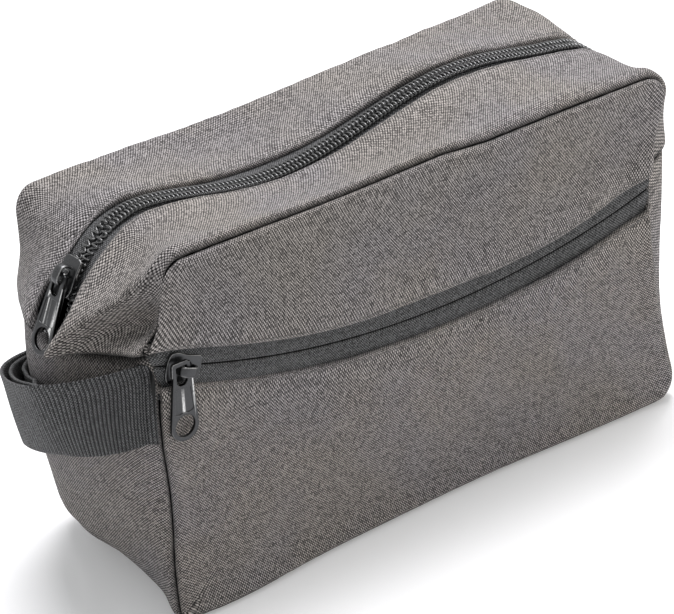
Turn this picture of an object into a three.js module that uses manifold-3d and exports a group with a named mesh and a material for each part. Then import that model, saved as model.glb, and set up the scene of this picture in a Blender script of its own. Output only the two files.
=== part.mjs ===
// Soft zipped cosmetic bag with a front pocket and an end handle, in millimetres, +Z up.
// The origin is on the base, +X runs along the bag, and the front faces -Y.
import * as THREE from 'three';
import { mergeVertices } from 'three/addons/utils/BufferGeometryUtils.js';
import Module from 'manifold-3d';

const wasm = await Module();
wasm.setup();

// The sewn bag: its size along the seams and the corners of its front and back panels
const bag_length = 256;
const bag_depth = 98;
const bag_height = 150;
const top_radius = 16;
const bottom_radius = 13;

// How the soft bag stands: swollen ends, a sideways lean at mid height, a wavy top that
// climbs to the right, slightly full panels, a spread foot and a back edge that lifts
const end_bulge = 16;
const bulge_skew = 1.6;
const side_lean = 8;
const lean_back_share = 0.65;
const top_rise = 1.5;
const top_wave = 6.5;
const top_wave_length = 180;
const top_wave_start = 8;
const top_climb_front = 4;
const top_climb_back = 8;
const climb_skew = 1.2;
const climb_start_share = 0.4;
const foot_spread = 5;
const heel_draw = 8;
const lower_belly = 1.4;
const upper_belly = 1.2;
const back_belly = 5;
const back_lift = 18;
const flat_base_back = 12;
const lift_reach = 75;

// Layers of the wall, counted inwards from the outside
const cloth = 1.5;
const lining = 0.7;
const lining_inset = 3;
const seam_gap = 0.3;
const end_seam_height = 112;
const end_seam_rise = 6;
const flap_end_gap = 1;
const flap_lining_short = 2;

// Zip chains: woven tape with a coil sewn on it
const tape_thickness = 0.8;
const tape_width = 18;
const coil_width = 4;
const coil_thickness = 2.4;
const main_slot = 8;
const main_chain_gap = 0.4;
const main_coil_proud = 0.9;
const main_opening = 4;
const pocket_slot = 7.5;
const pocket_chain_gap = 1.1;
const pocket_tape_width = 14;
const pocket_coil_clearance = 1.5;

// The front pocket's zip follows a circle; its lowest point is off the bag's middle
const pocket_arc_radius = 420;
const pocket_arc_low = 87;
const pocket_arc_middle = 8;
const pocket_space = 9;

// Sliders: two plates joined by a post, with a bail and a pull tab
const slider_length = 16.5;
const slider_mouth_width = 13;
const slider_tail_width = 10.5;
const slider_plate = 1.1;
const slider_channel_clearance = 0.8;
const slider_post_length = 3;
const slider_post_width = 0.8;
const slider_nose_share = 0.8;
const slider_shoulder_share = 0.9;
const slider_heel_share = 0.6;
const bail_length = 8.8;
const bail_width = 3.6;
const bail_wire = 1.2;
const bail_height = 5.8;
const lock_length = 5;
const lock_width = 2.4;
const lock_thickness = 0.5;
const tab_length = 34;
const tab_top_width = 8.6;
const tab_end_width = 13;
const tab_thickness = 1.6;
const tab_hole_radius = 4.6;
const tab_window_length = 8;
const tab_window_width = 4.8;
const tab_bar = 2;
const tab_pivot_height = 3;
const main_tab_tilt = 12;

// Where the sliders stand at rest
const main_slider_rest = 22;
const pocket_slider_from_seam = 6;

// Webbing handle sewn into both upright seams of the left end
const handle_width = 35;
const handle_thickness = 1.6;
const handle_seam_clearance = 3.5;
const handle_reach = 22;
const handle_fall = 32;
const handle_seam_inset = 3.5;

// Binding tape over the seam allowances inside
const binding_width = 7;
const binding_thickness = 1.8;

// Stations closer together than this are one station
const join_tolerance = 0.08;

// Fineness of the faceted surfaces
const corner_steps = 5;
const side_steps = 6;
const upper_side_steps = 4;
const top_steps = 14;
const bottom_steps = 10;
const panel_rows = 4;
const gusset_cells = 8;
const strip_cells = 3;
const handle_steps = 18;

const half_length = bag_length / 2;
const half_depth = bag_depth / 2;
const flap_half_length = half_length - top_radius;
const inner_inset = lining_inset + lining + 2 * seam_gap;

// Sideways lean at a height: none at the base and the top, most at mid height, less at the back
function lean(across, z) {
  const up = z / bag_height;
  const held = 1 - lean_back_share * Math.max(0, across) ** 2;
  return -4 * side_lean * up * (1 - up) * held;
}

// How far a depth lies towards the raised back edge, from nothing on the flat base to one
function backShare(y) {
  return Math.max(0, (y - flat_base_back) / (half_depth - flat_base_back)) ** 2;
}

// How near a height is to the ground, from one to nothing where the back edge's lift ends
function lowShare(z) {
  return Math.max(0, 1 - z / lift_reach) ** 2;
}

// Spread of the foot along the bag, less what the back corners are drawn in
function foot(along, y, z) {
  const spread = foot_spread * along * Math.max(0, 1 - z / bag_height) ** 3;
  return spread - heel_draw * along ** 3 * backShare(y) * lowShare(z);
}

// Climb of the top towards the right end, more at the back than at the front
function climb(along, across, z) {
  const rise = top_climb_front + ((top_climb_back - top_climb_front) * (across + 1)) / 2;
  const started = Math.max(0, along + climb_start_share) / (1 + climb_start_share);
  return rise * started ** climb_skew * Math.max(0, z / bag_height) ** 3;
}

// Height of the pocket zip's middle line over a point of the unshaped box
function pocketHeight(x) {
  const along = x / half_length;
  let z = pocket_arc_low;
  for (let pass = 0; pass < 6; pass += 1) {
    const off = x + lean(-1, z) + foot(along, -half_depth, z) - pocket_arc_middle;
    const arc = pocket_arc_low + pocket_arc_radius - Math.sqrt(pocket_arc_radius ** 2 - off ** 2);
    z = arc - climb(along, -1, z);
  }
  return z;
}

// Fullness of the front panel, none along the pocket zip and none at the seams
function frontBelly(x, z) {
  const zip = pocketHeight(x);
  const above = z > zip;
  const share = above ? (z - zip) / (bag_height - zip) : z / zip;
  const arch = Math.sin(Math.PI * Math.min(1, Math.max(0, share)));
  return (above ? upper_belly : lower_belly) * arch * (1 - (x / half_length) ** 2);
}

// Fullness of the back panel
function backBelly(x, z) {
  const share = Math.min(1, Math.max(0, z / bag_height));
  return back_belly * Math.sin(Math.PI * share) * (1 - (x / half_length) ** 2);
}

// Carries a point of the straight rectangular box to its place in the soft, standing bag
function shaped(x, y, z) {
  const along = x / half_length;
  const across = y / half_depth;
  const up = z / bag_height;
  const share = Math.min(1, Math.max(0, up));
  const swell = 1 - across ** 2;
  const end = end_bulge * Math.sin(Math.PI * share ** bulge_skew) * swell * along ** 3;
  const wave = Math.sin((2 * Math.PI * (x - top_wave_start)) / top_wave_length);
  const crown = (top_rise + top_wave * wave) * (1 - along ** 6) * swell * Math.max(0, up) ** 3;
  const belly = across < 0 ? frontBelly(x, z) : backBelly(x, z);
  return new THREE.Vector3(
    x + end + lean(across, z) + foot(along, y, z),
    y + belly * across ** 3,
    z + crown + climb(along, across, z) + back_lift * backShare(y) * lowShare(z),
  );
}

// One closed geometry from an outer and an inner surface, each a function of a column and
// a row share; rim faces close it, or the columns join up where the surface is a ring
function thickSheet(outer, inner, columns, rows, ring = false) {
  const points = [];
  const faces = [];
  const count = ring ? columns : columns + 1;
  for (const surface of [outer, inner]) {
    for (let i = 0; i < count; i += 1) {
      for (let j = 0; j <= rows; j += 1) {
        points.push(surface(i, j / rows));
      }
    }
  }
  const at = (side, i, j) => side * count * (rows + 1) + (i % count) * (rows + 1) + j;
  const quad = (a, b, c, d) => faces.push(a, b, c, a, c, d);
  for (let i = 0; i < columns; i += 1) {
    for (let j = 0; j < rows; j += 1) {
      quad(at(0, i, j), at(0, i + 1, j), at(0, i + 1, j + 1), at(0, i, j + 1));
      quad(at(1, i, j), at(1, i, j + 1), at(1, i + 1, j + 1), at(1, i + 1, j));
    }
    quad(at(0, i + 1, 0), at(0, i, 0), at(1, i, 0), at(1, i + 1, 0));
    quad(at(0, i, rows), at(0, i + 1, rows), at(1, i + 1, rows), at(1, i, rows));
  }
  if (!ring) {
    for (let j = 0; j < rows; j += 1) {
      quad(at(0, 0, j), at(0, 0, j + 1), at(1, 0, j + 1), at(1, 0, j));
      quad(at(0, columns, j + 1), at(0, columns, j), at(1, columns, j), at(1, columns, j + 1));
    }
  }
  const geometry = new THREE.BufferGeometry();
  const numbers = points.flatMap((p) => [p.x, p.y, p.z]);
  geometry.setAttribute('position', new THREE.Float32BufferAttribute(numbers, 3));
  geometry.setIndex(facingOut(points, faces));
  return geometry;
}

// Turns all faces round where they enclose a negative volume
function facingOut(points, faces) {
  let volume = 0;
  for (let k = 0; k < faces.length; k += 3) {
    const [a, b, c] = [points[faces[k]], points[faces[k + 1]], points[faces[k + 2]]];
    volume += a.dot(new THREE.Vector3().crossVectors(b, c));
  }
  if (volume > 0) return faces;
  const turned = [];
  for (let k = 0; k < faces.length; k += 3) turned.push(faces[k], faces[k + 2], faces[k + 1]);
  return turned;
}

// Stations along the bag's outline, each with its place and its outward direction
function station(x, z, nx, nz) {
  return { x, z, nx, nz };
}

function line(from, to, steps, nx, nz) {
  const list = [];
  for (let i = 0; i <= steps; i += 1) {
    const share = i / steps;
    const [x, z] = [0, 1].map((k) => from[k] + (to[k] - from[k]) * share);
    list.push(station(x, z, nx, nz));
  }
  return list;
}

function corner(x, z, radius, start) {
  const list = [];
  for (let i = 0; i <= corner_steps; i += 1) {
    const angle = THREE.MathUtils.degToRad(start - (90 * i) / corner_steps);
    const [nx, nz] = [Math.cos(angle), Math.sin(angle)];
    list.push(station(x + radius * nx, z + radius * nz, nx, nz));
  }
  return list;
}

// Joins stretches into one route without doubling the stations that they share
function route(...stretches) {
  const list = [];
  for (const stretch of stretches) {
    for (const next of stretch) {
      const last = list[list.length - 1];
      if (!last || Math.hypot(next.x - last.x, next.z - last.z) > join_tolerance) list.push(next);
    }
  }
  return list;
}

const shoulder = bag_height - top_radius;
const upper_seam = end_seam_height + seam_gap / 2;
const lower_seam = end_seam_height - seam_gap / 2;
const left_end = route(
  line([-half_length, upper_seam], [-half_length, shoulder], upper_side_steps, -1, 0),
  corner(-flap_half_length, shoulder, top_radius, 180),
);
const right_end = route(
  corner(flap_half_length, shoulder, top_radius, 90),
  line([half_length, shoulder], [half_length, upper_seam], upper_side_steps, 1, 0),
);
const over_top = line([-flap_half_length, bag_height], [flap_half_length, bag_height], top_steps, 0, 1);
const shortened = (gap) => over_top.map((s) => ({ ...s, x: s.x * (1 - gap / flap_half_length) }));
const whole_upper = route(left_end, over_top, right_end);
const lower_route = route(
  line([half_length, lower_seam], [half_length, bottom_radius], side_steps, 1, 0),
  corner(half_length - bottom_radius, bottom_radius, bottom_radius, 0),
  line([half_length - bottom_radius, 0], [bottom_radius - half_length, 0], bottom_steps, 0, -1),
  corner(bottom_radius - half_length, bottom_radius, bottom_radius, 270),
  line([-half_length, bottom_radius], [-half_length, lower_seam], side_steps, -1, 0),
);
const ring_route = route(whole_upper, lower_route);

// A place on the main zip's middle line, this far from the left end seam
function mainZipPoint(distance) {
  const over = Math.max(0, distance - (shoulder - end_seam_height)) / top_radius;
  const x = -flap_half_length - top_radius * Math.cos(over);
  const z = Math.min(shoulder, end_seam_height + distance) + top_radius * Math.sin(over);
  return shaped(x, 0, z);
}

// How far the unzipped stretch below the main slider stands open, from the end seam up
function parting(s) {
  if (s.x > 0) return 0;
  const share = (s.z - end_seam_height) / main_slider_rest;
  return main_opening * Math.sin(Math.PI * Math.min(1, Math.max(0, share)));
}

// Rise of the left end's seam towards its front corner, fading out above and below it
function seamRise(x, y, z) {
  if (x > 0 || y > 0) return 0;
  const near = 1 - Math.abs(z - end_seam_height) / (shoulder - end_seam_height);
  return end_seam_rise * (y / half_depth) ** 2 * Math.max(0, near);
}

// A sheet along a route of stations, between two widths across the bag and two depths
function strip(stations, from, to, outside, inside, cells, ring = false) {
  const surface = (inset) => (i, share) => {
    const s = stations[i];
    const y = from(s) + (to(s) - from(s)) * share;
    return shaped(s.x - s.nx * inset, y, s.z - s.nz * inset + seamRise(s.x, y, s.z));
  };
  const columns = ring ? stations.length : stations.length - 1;
  return thickSheet(surface(outside), surface(inside), columns, cells, ring);
}

// Columns along the bag for an upright panel, closer together round its corners
function columns(reach, radii) {
  const places = new Set();
  const straight = reach - Math.max(...radii);
  for (let i = 0; i <= bottom_steps; i += 1) places.add(-straight + (2 * straight * i) / bottom_steps);
  for (const radius of radii) {
    for (let i = 0; i <= corner_steps; i += 1) {
      const x = reach - radius + radius * Math.sin((Math.PI * i) / (2 * corner_steps));
      if (x > straight + seam_gap) {
        places.add(x);
        places.add(-x);
      }
    }
  }
  const sorted = [...places].sort((a, b) => a - b);
  return sorted.filter((x, i) => i === 0 || x - sorted[i - 1] > seam_gap);
}

// Lower and upper edge of the rounded outline at a place, drawn in by an inset
function outlineLow(x, inset) {
  const radius = bottom_radius - inset;
  const over = Math.max(0, Math.abs(x) - (half_length - bottom_radius));
  return bottom_radius - Math.sqrt(Math.max(0, radius ** 2 - over ** 2));
}

function outlineHigh(x, inset) {
  const radius = top_radius - inset;
  const over = Math.max(0, Math.abs(x) - flap_half_length);
  return shoulder + Math.sqrt(Math.max(0, radius ** 2 - over ** 2));
}

// An upright sheet between two edges, at a depth behind the front (side -1) or back (side 1)
function panel(side, low, high, inset, near, far, radii) {
  const places = columns(half_length - inset, radii);
  const surface = (depth) => (i, share) => {
    const x = places[i];
    const [a, b] = [low(x), high(x)];
    return shaped(x, side * (half_depth - depth), a + (b - a) * share);
  };
  return thickSheet(surface(near), surface(far), places.length - 1, panel_rows);
}

// A strip that runs beside the pocket zip's middle line, between two distances from it
function pocketStrip(side, near_line, far_line, outside, inside, inset, cells) {
  const reach = half_length - inset;
  const steps = top_steps + corner_steps;
  const surface = (depth) => (i, share) => {
    const x = -reach + (2 * reach * i) / steps;
    const off = side * (near_line + (far_line - near_line) * share);
    return shaped(x, depth - half_depth, pocketHeight(x) + off);
  };
  return thickSheet(surface(outside), surface(inside), steps, cells);
}

// Cloths and metals
const finishes = {
  cloth: { color: 0x6f6a67, roughness: 0.95, metalness: 0 },
  top_cloth: { color: 0x8b8683, roughness: 0.95, metalness: 0 },
  lining: { color: 0x2b2c2e, roughness: 0.8, metalness: 0 },
  webbing: { color: 0x3b3d3e, roughness: 0.85, metalness: 0 },
  tape: { color: 0x3a3c3d, roughness: 0.9, metalness: 0 },
  coil: { color: 0x1d1f1f, roughness: 0.35, metalness: 0 },
  metal: { color: 0x4b4b4b, roughness: 0.35, metalness: 0.9 },
};

const bag = new THREE.Group();

function piece(name, geometry, finish, parent = bag) {
  const mesh = new THREE.Mesh(geometry, new THREE.MeshStandardMaterial(finishes[finish]));
  mesh.name = name;
  parent.add(mesh);
  return mesh;
}

// Outer cloth: the front in two panels above and below the pocket zip, the back, the gusset
const cloth_edge = half_depth - cloth - seam_gap;
const lining_front_edge = half_depth - lining_inset;
const upperEdge = (x) => pocketHeight(x) + pocket_slot;
const lowerEdge = (x) => pocketHeight(x) - pocket_slot;
const high = (x) => outlineHigh(x, 0);
const low = (x) => outlineLow(x, 0);
piece('front_upper_panel', panel(-1, upperEdge, high, 0, 0, cloth, [top_radius]), 'cloth');
piece('front_lower_panel', panel(-1, low, lowerEdge, 0, 0, cloth, [bottom_radius]), 'cloth');
piece('back_panel', panel(1, low, high, 0, 0, cloth, [top_radius, bottom_radius]), 'cloth');
const lower_gusset = strip(lower_route, () => -cloth_edge, () => cloth_edge, 0, cloth, gusset_cells);
piece('lower_gusset', lower_gusset, 'cloth');

// The upper gusset, front and back of the main zip: sewn-down ends and the mouth between
const sides = [['front', -1], ['back', 1]];
for (const [name, side] of sides) {
  const outer_edge = () => side * cloth_edge;
  const slot_edge = (s) => side * (main_slot + parting(s));
  const lining_edge = (s) => side * (main_slot + main_opening + parting(s));
  const lining_outer_edge = () => (side < 0 ? -lining_front_edge : cloth_edge);
  const stretches = [
    [`top_left_end_${name}`, left_end, left_end],
    [`mouth_flap_${name}`, shortened(flap_end_gap), shortened(flap_lining_short)],
    [`top_right_end_${name}`, right_end, right_end],
  ];
  for (const [stretch, stations, inner_stations] of stretches) {
    piece(stretch, strip(stations, slot_edge, outer_edge, 0, cloth, strip_cells), 'top_cloth');
    const [near, far] = [lining_inset, lining_inset + lining];
    const inner = strip(inner_stations, lining_edge, lining_outer_edge, near, far, strip_cells);
    piece(`${stretch}_lining`, inner, 'lining');
  }

  // Main zip: tape under the cloth's edge, coil on its outer face
  const tape_top = cloth + seam_gap;
  const tape_in = (s) => side * (main_chain_gap + parting(s));
  const tape_out = (s) => side * (main_chain_gap + tape_width + parting(s));
  const coil_out = (s) => side * (main_chain_gap + coil_width + parting(s));
  const tape = strip(whole_upper, tape_in, tape_out, tape_top, tape_top + tape_thickness, 2);
  piece(`main_zip_tape_${name}`, tape, 'tape');
  const coil_top = -main_coil_proud;
  const coil = strip(whole_upper, tape_in, coil_out, coil_top, coil_top + coil_thickness, 1);
  piece(`main_zip_coil_${name}`, coil, 'coil');
}

// Linings of the compartment, the pocket's back, and the bound seam allowances
const inner_low = (x) => outlineLow(x, inner_inset);
const inner_high = (x) => outlineHigh(x, inner_inset);
const gusset_lining = strip(
  lower_route,
  () => -lining_front_edge,
  () => cloth_edge,
  lining_inset,
  lining_inset + lining,
  gusset_cells,
);
piece('gusset_lining', gusset_lining, 'lining');
const radii = [top_radius - inner_inset, bottom_radius - inner_inset];
const lining_front_depth = pocket_space + lining + seam_gap;
const inner_sheets = [
  ['pocket_back', -1, pocket_space],
  ['front_lining', -1, lining_front_depth],
  ['back_lining', 1, lining_inset],
];
for (const [name, side, depth] of inner_sheets) {
  piece(name, panel(side, inner_low, inner_high, inner_inset, depth, depth + lining, radii), 'lining');
}
const bindings = [
  ['front', -1, lining_front_depth + lining + seam_gap],
  ['back', 1, lining_inset + lining + seam_gap],
];
for (const [name, side, depth] of bindings) {
  const near = () => side * (half_depth - depth);
  const far = () => side * (half_depth - depth - binding_thickness);
  const tape = strip(ring_route, near, far, inner_inset, inner_inset + binding_width, 1, true);
  piece(`seam_binding_${name}`, tape, 'tape');
}

// Front pocket zip: tapes face out, coils behind them
const pocket_tape_depth = cloth + seam_gap;
const pocket_coil_depth = pocket_tape_depth + tape_thickness + seam_gap;
const pocket_coil_inset = inner_inset + pocket_coil_clearance;
for (const [name, side] of [['upper', 1], ['lower', -1]]) {
  const [tape_front, tape_back] = [pocket_tape_depth, pocket_tape_depth + tape_thickness];
  const [inner, outer] = [pocket_chain_gap, pocket_tape_width];
  const tape = pocketStrip(side, inner, outer, tape_front, tape_back, cloth + seam_gap, 2);
  piece(`pocket_zip_tape_${name}`, tape, 'tape');
  const [coil_front, coil_back] = [pocket_coil_depth, pocket_coil_depth + coil_thickness];
  const coil = pocketStrip(side, inner, inner + coil_width, coil_front, coil_back, pocket_coil_inset, 1);
  piece(`pocket_zip_coil_${name}`, coil, 'coil');
}

// Webbing handle: a half oval out from the left end, from the front seam down to the back seam
const handle_front_height = end_seam_height + end_seam_rise - handle_seam_clearance - handle_width / 2;
const handle_seat = half_depth - handle_seam_inset;
function handlePoint(share, offset, across) {
  const turn = Math.PI * share;
  const travelled = (1 - Math.cos(turn)) / 2;
  const z = handle_front_height + offset - handle_fall * travelled;
  const [front_z, back_z] = [handle_front_height + offset, handle_front_height - handle_fall + offset];
  const front_x = shaped(-half_length, handle_thickness - handle_seat, front_z).x - seam_gap;
  const back_x = shaped(-half_length, handle_seat - handle_thickness, back_z).x - seam_gap;
  const normal = new THREE.Vector2(handle_reach * Math.cos(turn), -handle_seat * Math.sin(turn));
  normal.normalize();
  return new THREE.Vector3(
    front_x + (back_x - front_x) * travelled - handle_reach * Math.sin(turn) + normal.y * across,
    -Math.cos(turn) * handle_seat - normal.x * across,
    z,
  );
}

const handleSurface = (across) => (i, share) => (
  handlePoint(i / handle_steps, (share - 1 / 2) * handle_width, across)
);
const [handle_outside, handle_inside] = [handle_thickness / 2, -handle_thickness / 2];
const handle = thickSheet(handleSurface(handle_outside), handleSurface(handle_inside), handle_steps, 2);
piece('handle_strap', handle, 'webbing');

// A closed geometry as a solid, and back again
function solid(geometry) {
  const plain = geometry.clone();
  plain.deleteAttribute('normal');
  plain.deleteAttribute('uv');
  const merged = mergeVertices(plain);
  return new wasm.Manifold(new wasm.Mesh({
    numProp: 3,
    vertProperties: merged.attributes.position.array,
    triVerts: new Uint32Array(merged.index.array),
  }));
}

function geometryOf(manifold) {
  const mesh = manifold.getMesh();
  const geometry = new THREE.BufferGeometry();
  geometry.setAttribute('position', new THREE.Float32BufferAttribute(mesh.vertProperties, 3));
  geometry.setIndex(new THREE.Uint32BufferAttribute(mesh.triVerts, 1));
  return geometry;
}

// A flat shape made into a plate that stands between two heights
function plate(shape, bottom, thickness, curve_segments = 8) {
  const geometry = new THREE.ExtrudeGeometry(shape, {
    depth: thickness,
    bevelEnabled: false,
    curveSegments: curve_segments,
  });
  return geometry.translate(0, 0, bottom);
}

function outline(points) {
  return new THREE.Shape(points.map(([x, y]) => new THREE.Vector2(x, y)));
}

// Slider body: both plates wide at the mouth and narrow at the tail, joined by the post
// that parts the chain. Its own frame: +X towards the closed chain, +Z away from the bag.
function sliderBody(top_of_channel, bottom_of_channel) {
  const [front, back] = [slider_length / 2, -slider_length / 2];
  const [mouth, tail] = [slider_mouth_width / 2, slider_tail_width / 2];
  const [nose, shoulder_y, heel] = [
    tail * slider_nose_share, mouth * slider_shoulder_share, mouth * slider_heel_share,
  ];
  const shape = outline([
    [front, nose], [front - slider_plate, tail], [back / 2, mouth],
    [back + slider_plate, shoulder_y], [back, heel],
    [back, -heel], [back + slider_plate, -shoulder_y],
    [back / 2, -mouth], [front - slider_plate, -tail], [front, -nose],
  ]);
  const top = plate(shape, top_of_channel, slider_plate);
  const bottom = plate(shape, bottom_of_channel - slider_plate, slider_plate);
  const tall = top_of_channel - bottom_of_channel + slider_plate;
  const post = new THREE.BoxGeometry(slider_post_length, slider_post_width, tall);
  const post_x = back + slider_plate + slider_post_length / 2;
  post.translate(post_x, 0, (top_of_channel + bottom_of_channel) / 2);
  return geometryOf(solid(top).add(solid(bottom)).add(solid(post)));
}

// Bail: an arch over the top plate, lengthwise, that the pull tab's bar sits under
function bail(foot) {
  const [half, wire] = [bail_length / 2, bail_wire];
  const bend = wire * 2;
  const shape = new THREE.Shape();
  shape.moveTo(half, 0);
  shape.lineTo(half, bail_height - bend);
  shape.absarc(half - bend, bail_height - bend, bend, 0, Math.PI / 2, false);
  shape.lineTo(bend - half, bail_height);
  shape.absarc(bend - half, bail_height - bend, bend, Math.PI / 2, Math.PI, false);
  shape.lineTo(-half, 0);
  shape.lineTo(wire - half, 0);
  shape.lineTo(wire - half, bail_height - bend);
  shape.absarc(bend - half, bail_height - bend, bend - wire, Math.PI, Math.PI / 2, true);
  shape.lineTo(half - bend, bail_height - wire);
  shape.absarc(half - bend, bail_height - bend, bend - wire, Math.PI / 2, 0, true);
  shape.lineTo(half - wire, 0);
  const geometry = plate(shape, -bail_width / 2, bail_width, 4);
  return geometry.rotateX(Math.PI / 2).translate(0, 0, foot);
}

// Lock spring: a leaf on the top plate under the bail
function lockSpring(foot) {
  const leaf = new THREE.BoxGeometry(lock_length, lock_width, lock_thickness);
  return leaf.translate(0, 0, foot + lock_thickness / 2);
}

// Pull tab along -X from the middle of its window, with a round hole in its wide end
function pullTab() {
  const bar_end = tab_window_length / 2 + tab_bar;
  const end_radius = tab_end_width / 2;
  const hole_x = bar_end - tab_length + end_radius;
  const top = tab_top_width / 2;
  const shape = new THREE.Shape();
  shape.moveTo(bar_end, -top + tab_bar / 2);
  shape.lineTo(bar_end, top - tab_bar / 2);
  shape.lineTo(bar_end - tab_bar / 2, top);
  shape.lineTo(hole_x, end_radius);
  shape.absarc(hole_x, 0, end_radius, Math.PI / 2, (3 * Math.PI) / 2, false);
  shape.lineTo(bar_end - tab_bar / 2, -top);
  const window_hole = new THREE.Path();
  const [wx, wy] = [tab_window_length / 2, tab_window_width / 2];
  window_hole.moveTo(wx, wy);
  window_hole.lineTo(wx, -wy);
  window_hole.lineTo(-wx, -wy);
  window_hole.lineTo(-wx, wy);
  const ring = new THREE.Path();
  ring.absarc(hole_x, 0, tab_hole_radius, 0, 2 * Math.PI, true);
  shape.holes.push(window_hole, ring);
  return plate(shape, -tab_thickness / 2, tab_thickness, 10);
}

// Main slider on the left end's slope; its tab lies down the slope from under the bail
const main_mouth = mainZipPoint(main_slider_rest - slider_length / 2);
const main_tail = mainZipPoint(main_slider_rest + slider_length / 2);
const main_middle = mainZipPoint(main_slider_rest);
const slope = Math.atan2(main_tail.z - main_mouth.z, main_tail.x - main_mouth.x);
const main_slider = new THREE.Group();
main_slider.position.copy(main_mouth).add(main_tail).divideScalar(2).add(main_middle).divideScalar(2);
main_slider.rotation.set(0, -slope, 0);
bag.add(main_slider);
const main_channel_top = main_coil_proud + slider_channel_clearance;
const main_channel_bottom = -(cloth + seam_gap + tape_thickness + slider_channel_clearance);
const main_plate_top = main_channel_top + slider_plate;
piece('main_slider_body', sliderBody(main_channel_top, main_channel_bottom), 'metal', main_slider);
piece('main_slider_bail', bail(main_plate_top + seam_gap), 'metal', main_slider);
piece('main_slider_lock_spring', lockSpring(main_plate_top + seam_gap), 'metal', main_slider);
const bar_middle = (tab_window_length + tab_bar) / 2;
const main_tilt = THREE.MathUtils.degToRad(main_tab_tilt);
const main_tab = piece('main_pull_tab', pullTab().translate(-bar_middle, 0, 0), 'metal', main_slider);
main_tab.position.set(0, 0, main_plate_top + tab_pivot_height);
main_tab.rotation.set(0, -main_tilt, 0);

// Pocket slider at the left end of its zip; its tab hangs straight down from the bail's leg
const pocket_slider_x = pocket_slider_from_seam - half_length;
const pocket_off = pocket_slider_x - pocket_arc_middle;
const pocket_arc_fall = Math.sqrt(pocket_arc_radius ** 2 - pocket_off ** 2);
const pocket_slider_z = pocket_arc_low + pocket_arc_radius - pocket_arc_fall;
const pocket_turn = Math.asin(pocket_off / pocket_arc_radius);
const pocket_slider = new THREE.Group();
pocket_slider.position.set(pocket_slider_x, -half_depth, pocket_slider_z);
const pocket_axes = new THREE.Matrix4().makeBasis(
  new THREE.Vector3(Math.cos(pocket_turn), 0, Math.sin(pocket_turn)),
  new THREE.Vector3(-Math.sin(pocket_turn), 0, Math.cos(pocket_turn)),
  new THREE.Vector3(0, -1, 0),
);
pocket_slider.quaternion.setFromRotationMatrix(pocket_axes);
bag.add(pocket_slider);
const pocket_channel_top = -pocket_tape_depth + slider_channel_clearance / 2;
const pocket_channel_bottom = -(pocket_coil_depth + coil_thickness + slider_channel_clearance / 2);
const pocket_plate_top = pocket_channel_top + slider_plate;
piece('pocket_slider_body', sliderBody(pocket_channel_top, pocket_channel_bottom), 'metal', pocket_slider);
piece('pocket_slider_bail', bail(pocket_plate_top + seam_gap), 'metal', pocket_slider);
piece('pocket_slider_lock_spring', lockSpring(pocket_plate_top + seam_gap), 'metal', pocket_slider);
const leg = -(bail_length - bail_wire) / 2;
const hang = tab_window_length / 2 - bail_width / 2 - seam_gap;
const pocket_tab = piece('pocket_pull_tab', pullTab().translate(-hang, 0, 0), 'metal', pocket_slider);
pocket_tab.position.set(leg, 0, pocket_plate_top + tab_pivot_height);
pocket_tab.rotation.set(0, 0, Math.PI / 2 - pocket_turn);

export default bag;
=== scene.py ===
import math

import bmesh
import bpy
import numpy as np
from mathutils import Matrix, Vector


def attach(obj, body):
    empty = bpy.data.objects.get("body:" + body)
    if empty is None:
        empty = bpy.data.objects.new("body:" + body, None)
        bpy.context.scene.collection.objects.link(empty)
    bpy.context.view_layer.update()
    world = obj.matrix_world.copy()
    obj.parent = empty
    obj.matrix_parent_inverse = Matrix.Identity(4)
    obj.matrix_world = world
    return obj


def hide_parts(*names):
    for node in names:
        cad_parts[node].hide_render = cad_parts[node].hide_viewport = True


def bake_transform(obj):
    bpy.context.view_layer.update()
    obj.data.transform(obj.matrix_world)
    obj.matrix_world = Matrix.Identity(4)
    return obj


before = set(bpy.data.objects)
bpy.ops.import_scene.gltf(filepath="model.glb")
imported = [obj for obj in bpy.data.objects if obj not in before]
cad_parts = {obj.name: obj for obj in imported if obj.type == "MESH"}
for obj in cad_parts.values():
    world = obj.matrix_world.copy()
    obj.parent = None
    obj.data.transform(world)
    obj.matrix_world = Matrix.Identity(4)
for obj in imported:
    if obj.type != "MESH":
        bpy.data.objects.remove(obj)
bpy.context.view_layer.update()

pi = math.pi

# Camera: the photograph's own view of the bag, from the front left and above, with a long
# lens. Its slides move the bag in the frame without changing the direction of view.
view_azimuth, view_elevation, view_roll = (math.radians(a) for a in (-36.96, 27.46, -3.10))
view_distance, view_height = 1.6, 0.075
slide_right, slide_up = -0.0086, -0.0032
focal_length, film_width = 208.6, 36


def placed(name, data):
    """A new object with this data, in the scene."""
    made = bpy.data.objects.new(name, data)
    bpy.context.scene.collection.objects.link(made)
    return made


away = Vector((
    math.sin(view_azimuth) * math.cos(view_elevation),
    -math.cos(view_azimuth) * math.cos(view_elevation),
    math.sin(view_elevation),
))
level = Vector((math.cos(view_azimuth), math.sin(view_azimuth), 0))
steep = away.cross(level)
right = math.cos(view_roll) * level + math.sin(view_roll) * steep
upward = math.cos(view_roll) * steep - math.sin(view_roll) * level
lens = bpy.data.cameras.new("camera")
lens.lens, lens.sensor_width, lens.sensor_fit = focal_length, film_width, "HORIZONTAL"
camera = placed("camera", lens)
stand = Vector((0, 0, view_height)) + away * view_distance
stand = stand + right * slide_right + upward * slide_up
turn = Matrix((right, upward, away)).transposed().to_4x4()
camera.matrix_world = Matrix.Translation(stand) @ turn
bpy.context.scene.camera = camera
bpy.context.scene.view_settings.view_transform = "Standard"

# Floor and light: a pale studio floor, a broad lamp overhead that makes the top lighter
# than the front, a weak warm one low at the front right, and an even pale room around.
room_tint, room_strength, white = (0.96, 0.98, 1, 1), 0.48, (1, 1, 1, 1)
floor_tint, floor_glow, floor_reach = (0.86, 0.86, 0.86, 1), 0.2, 6


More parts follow.
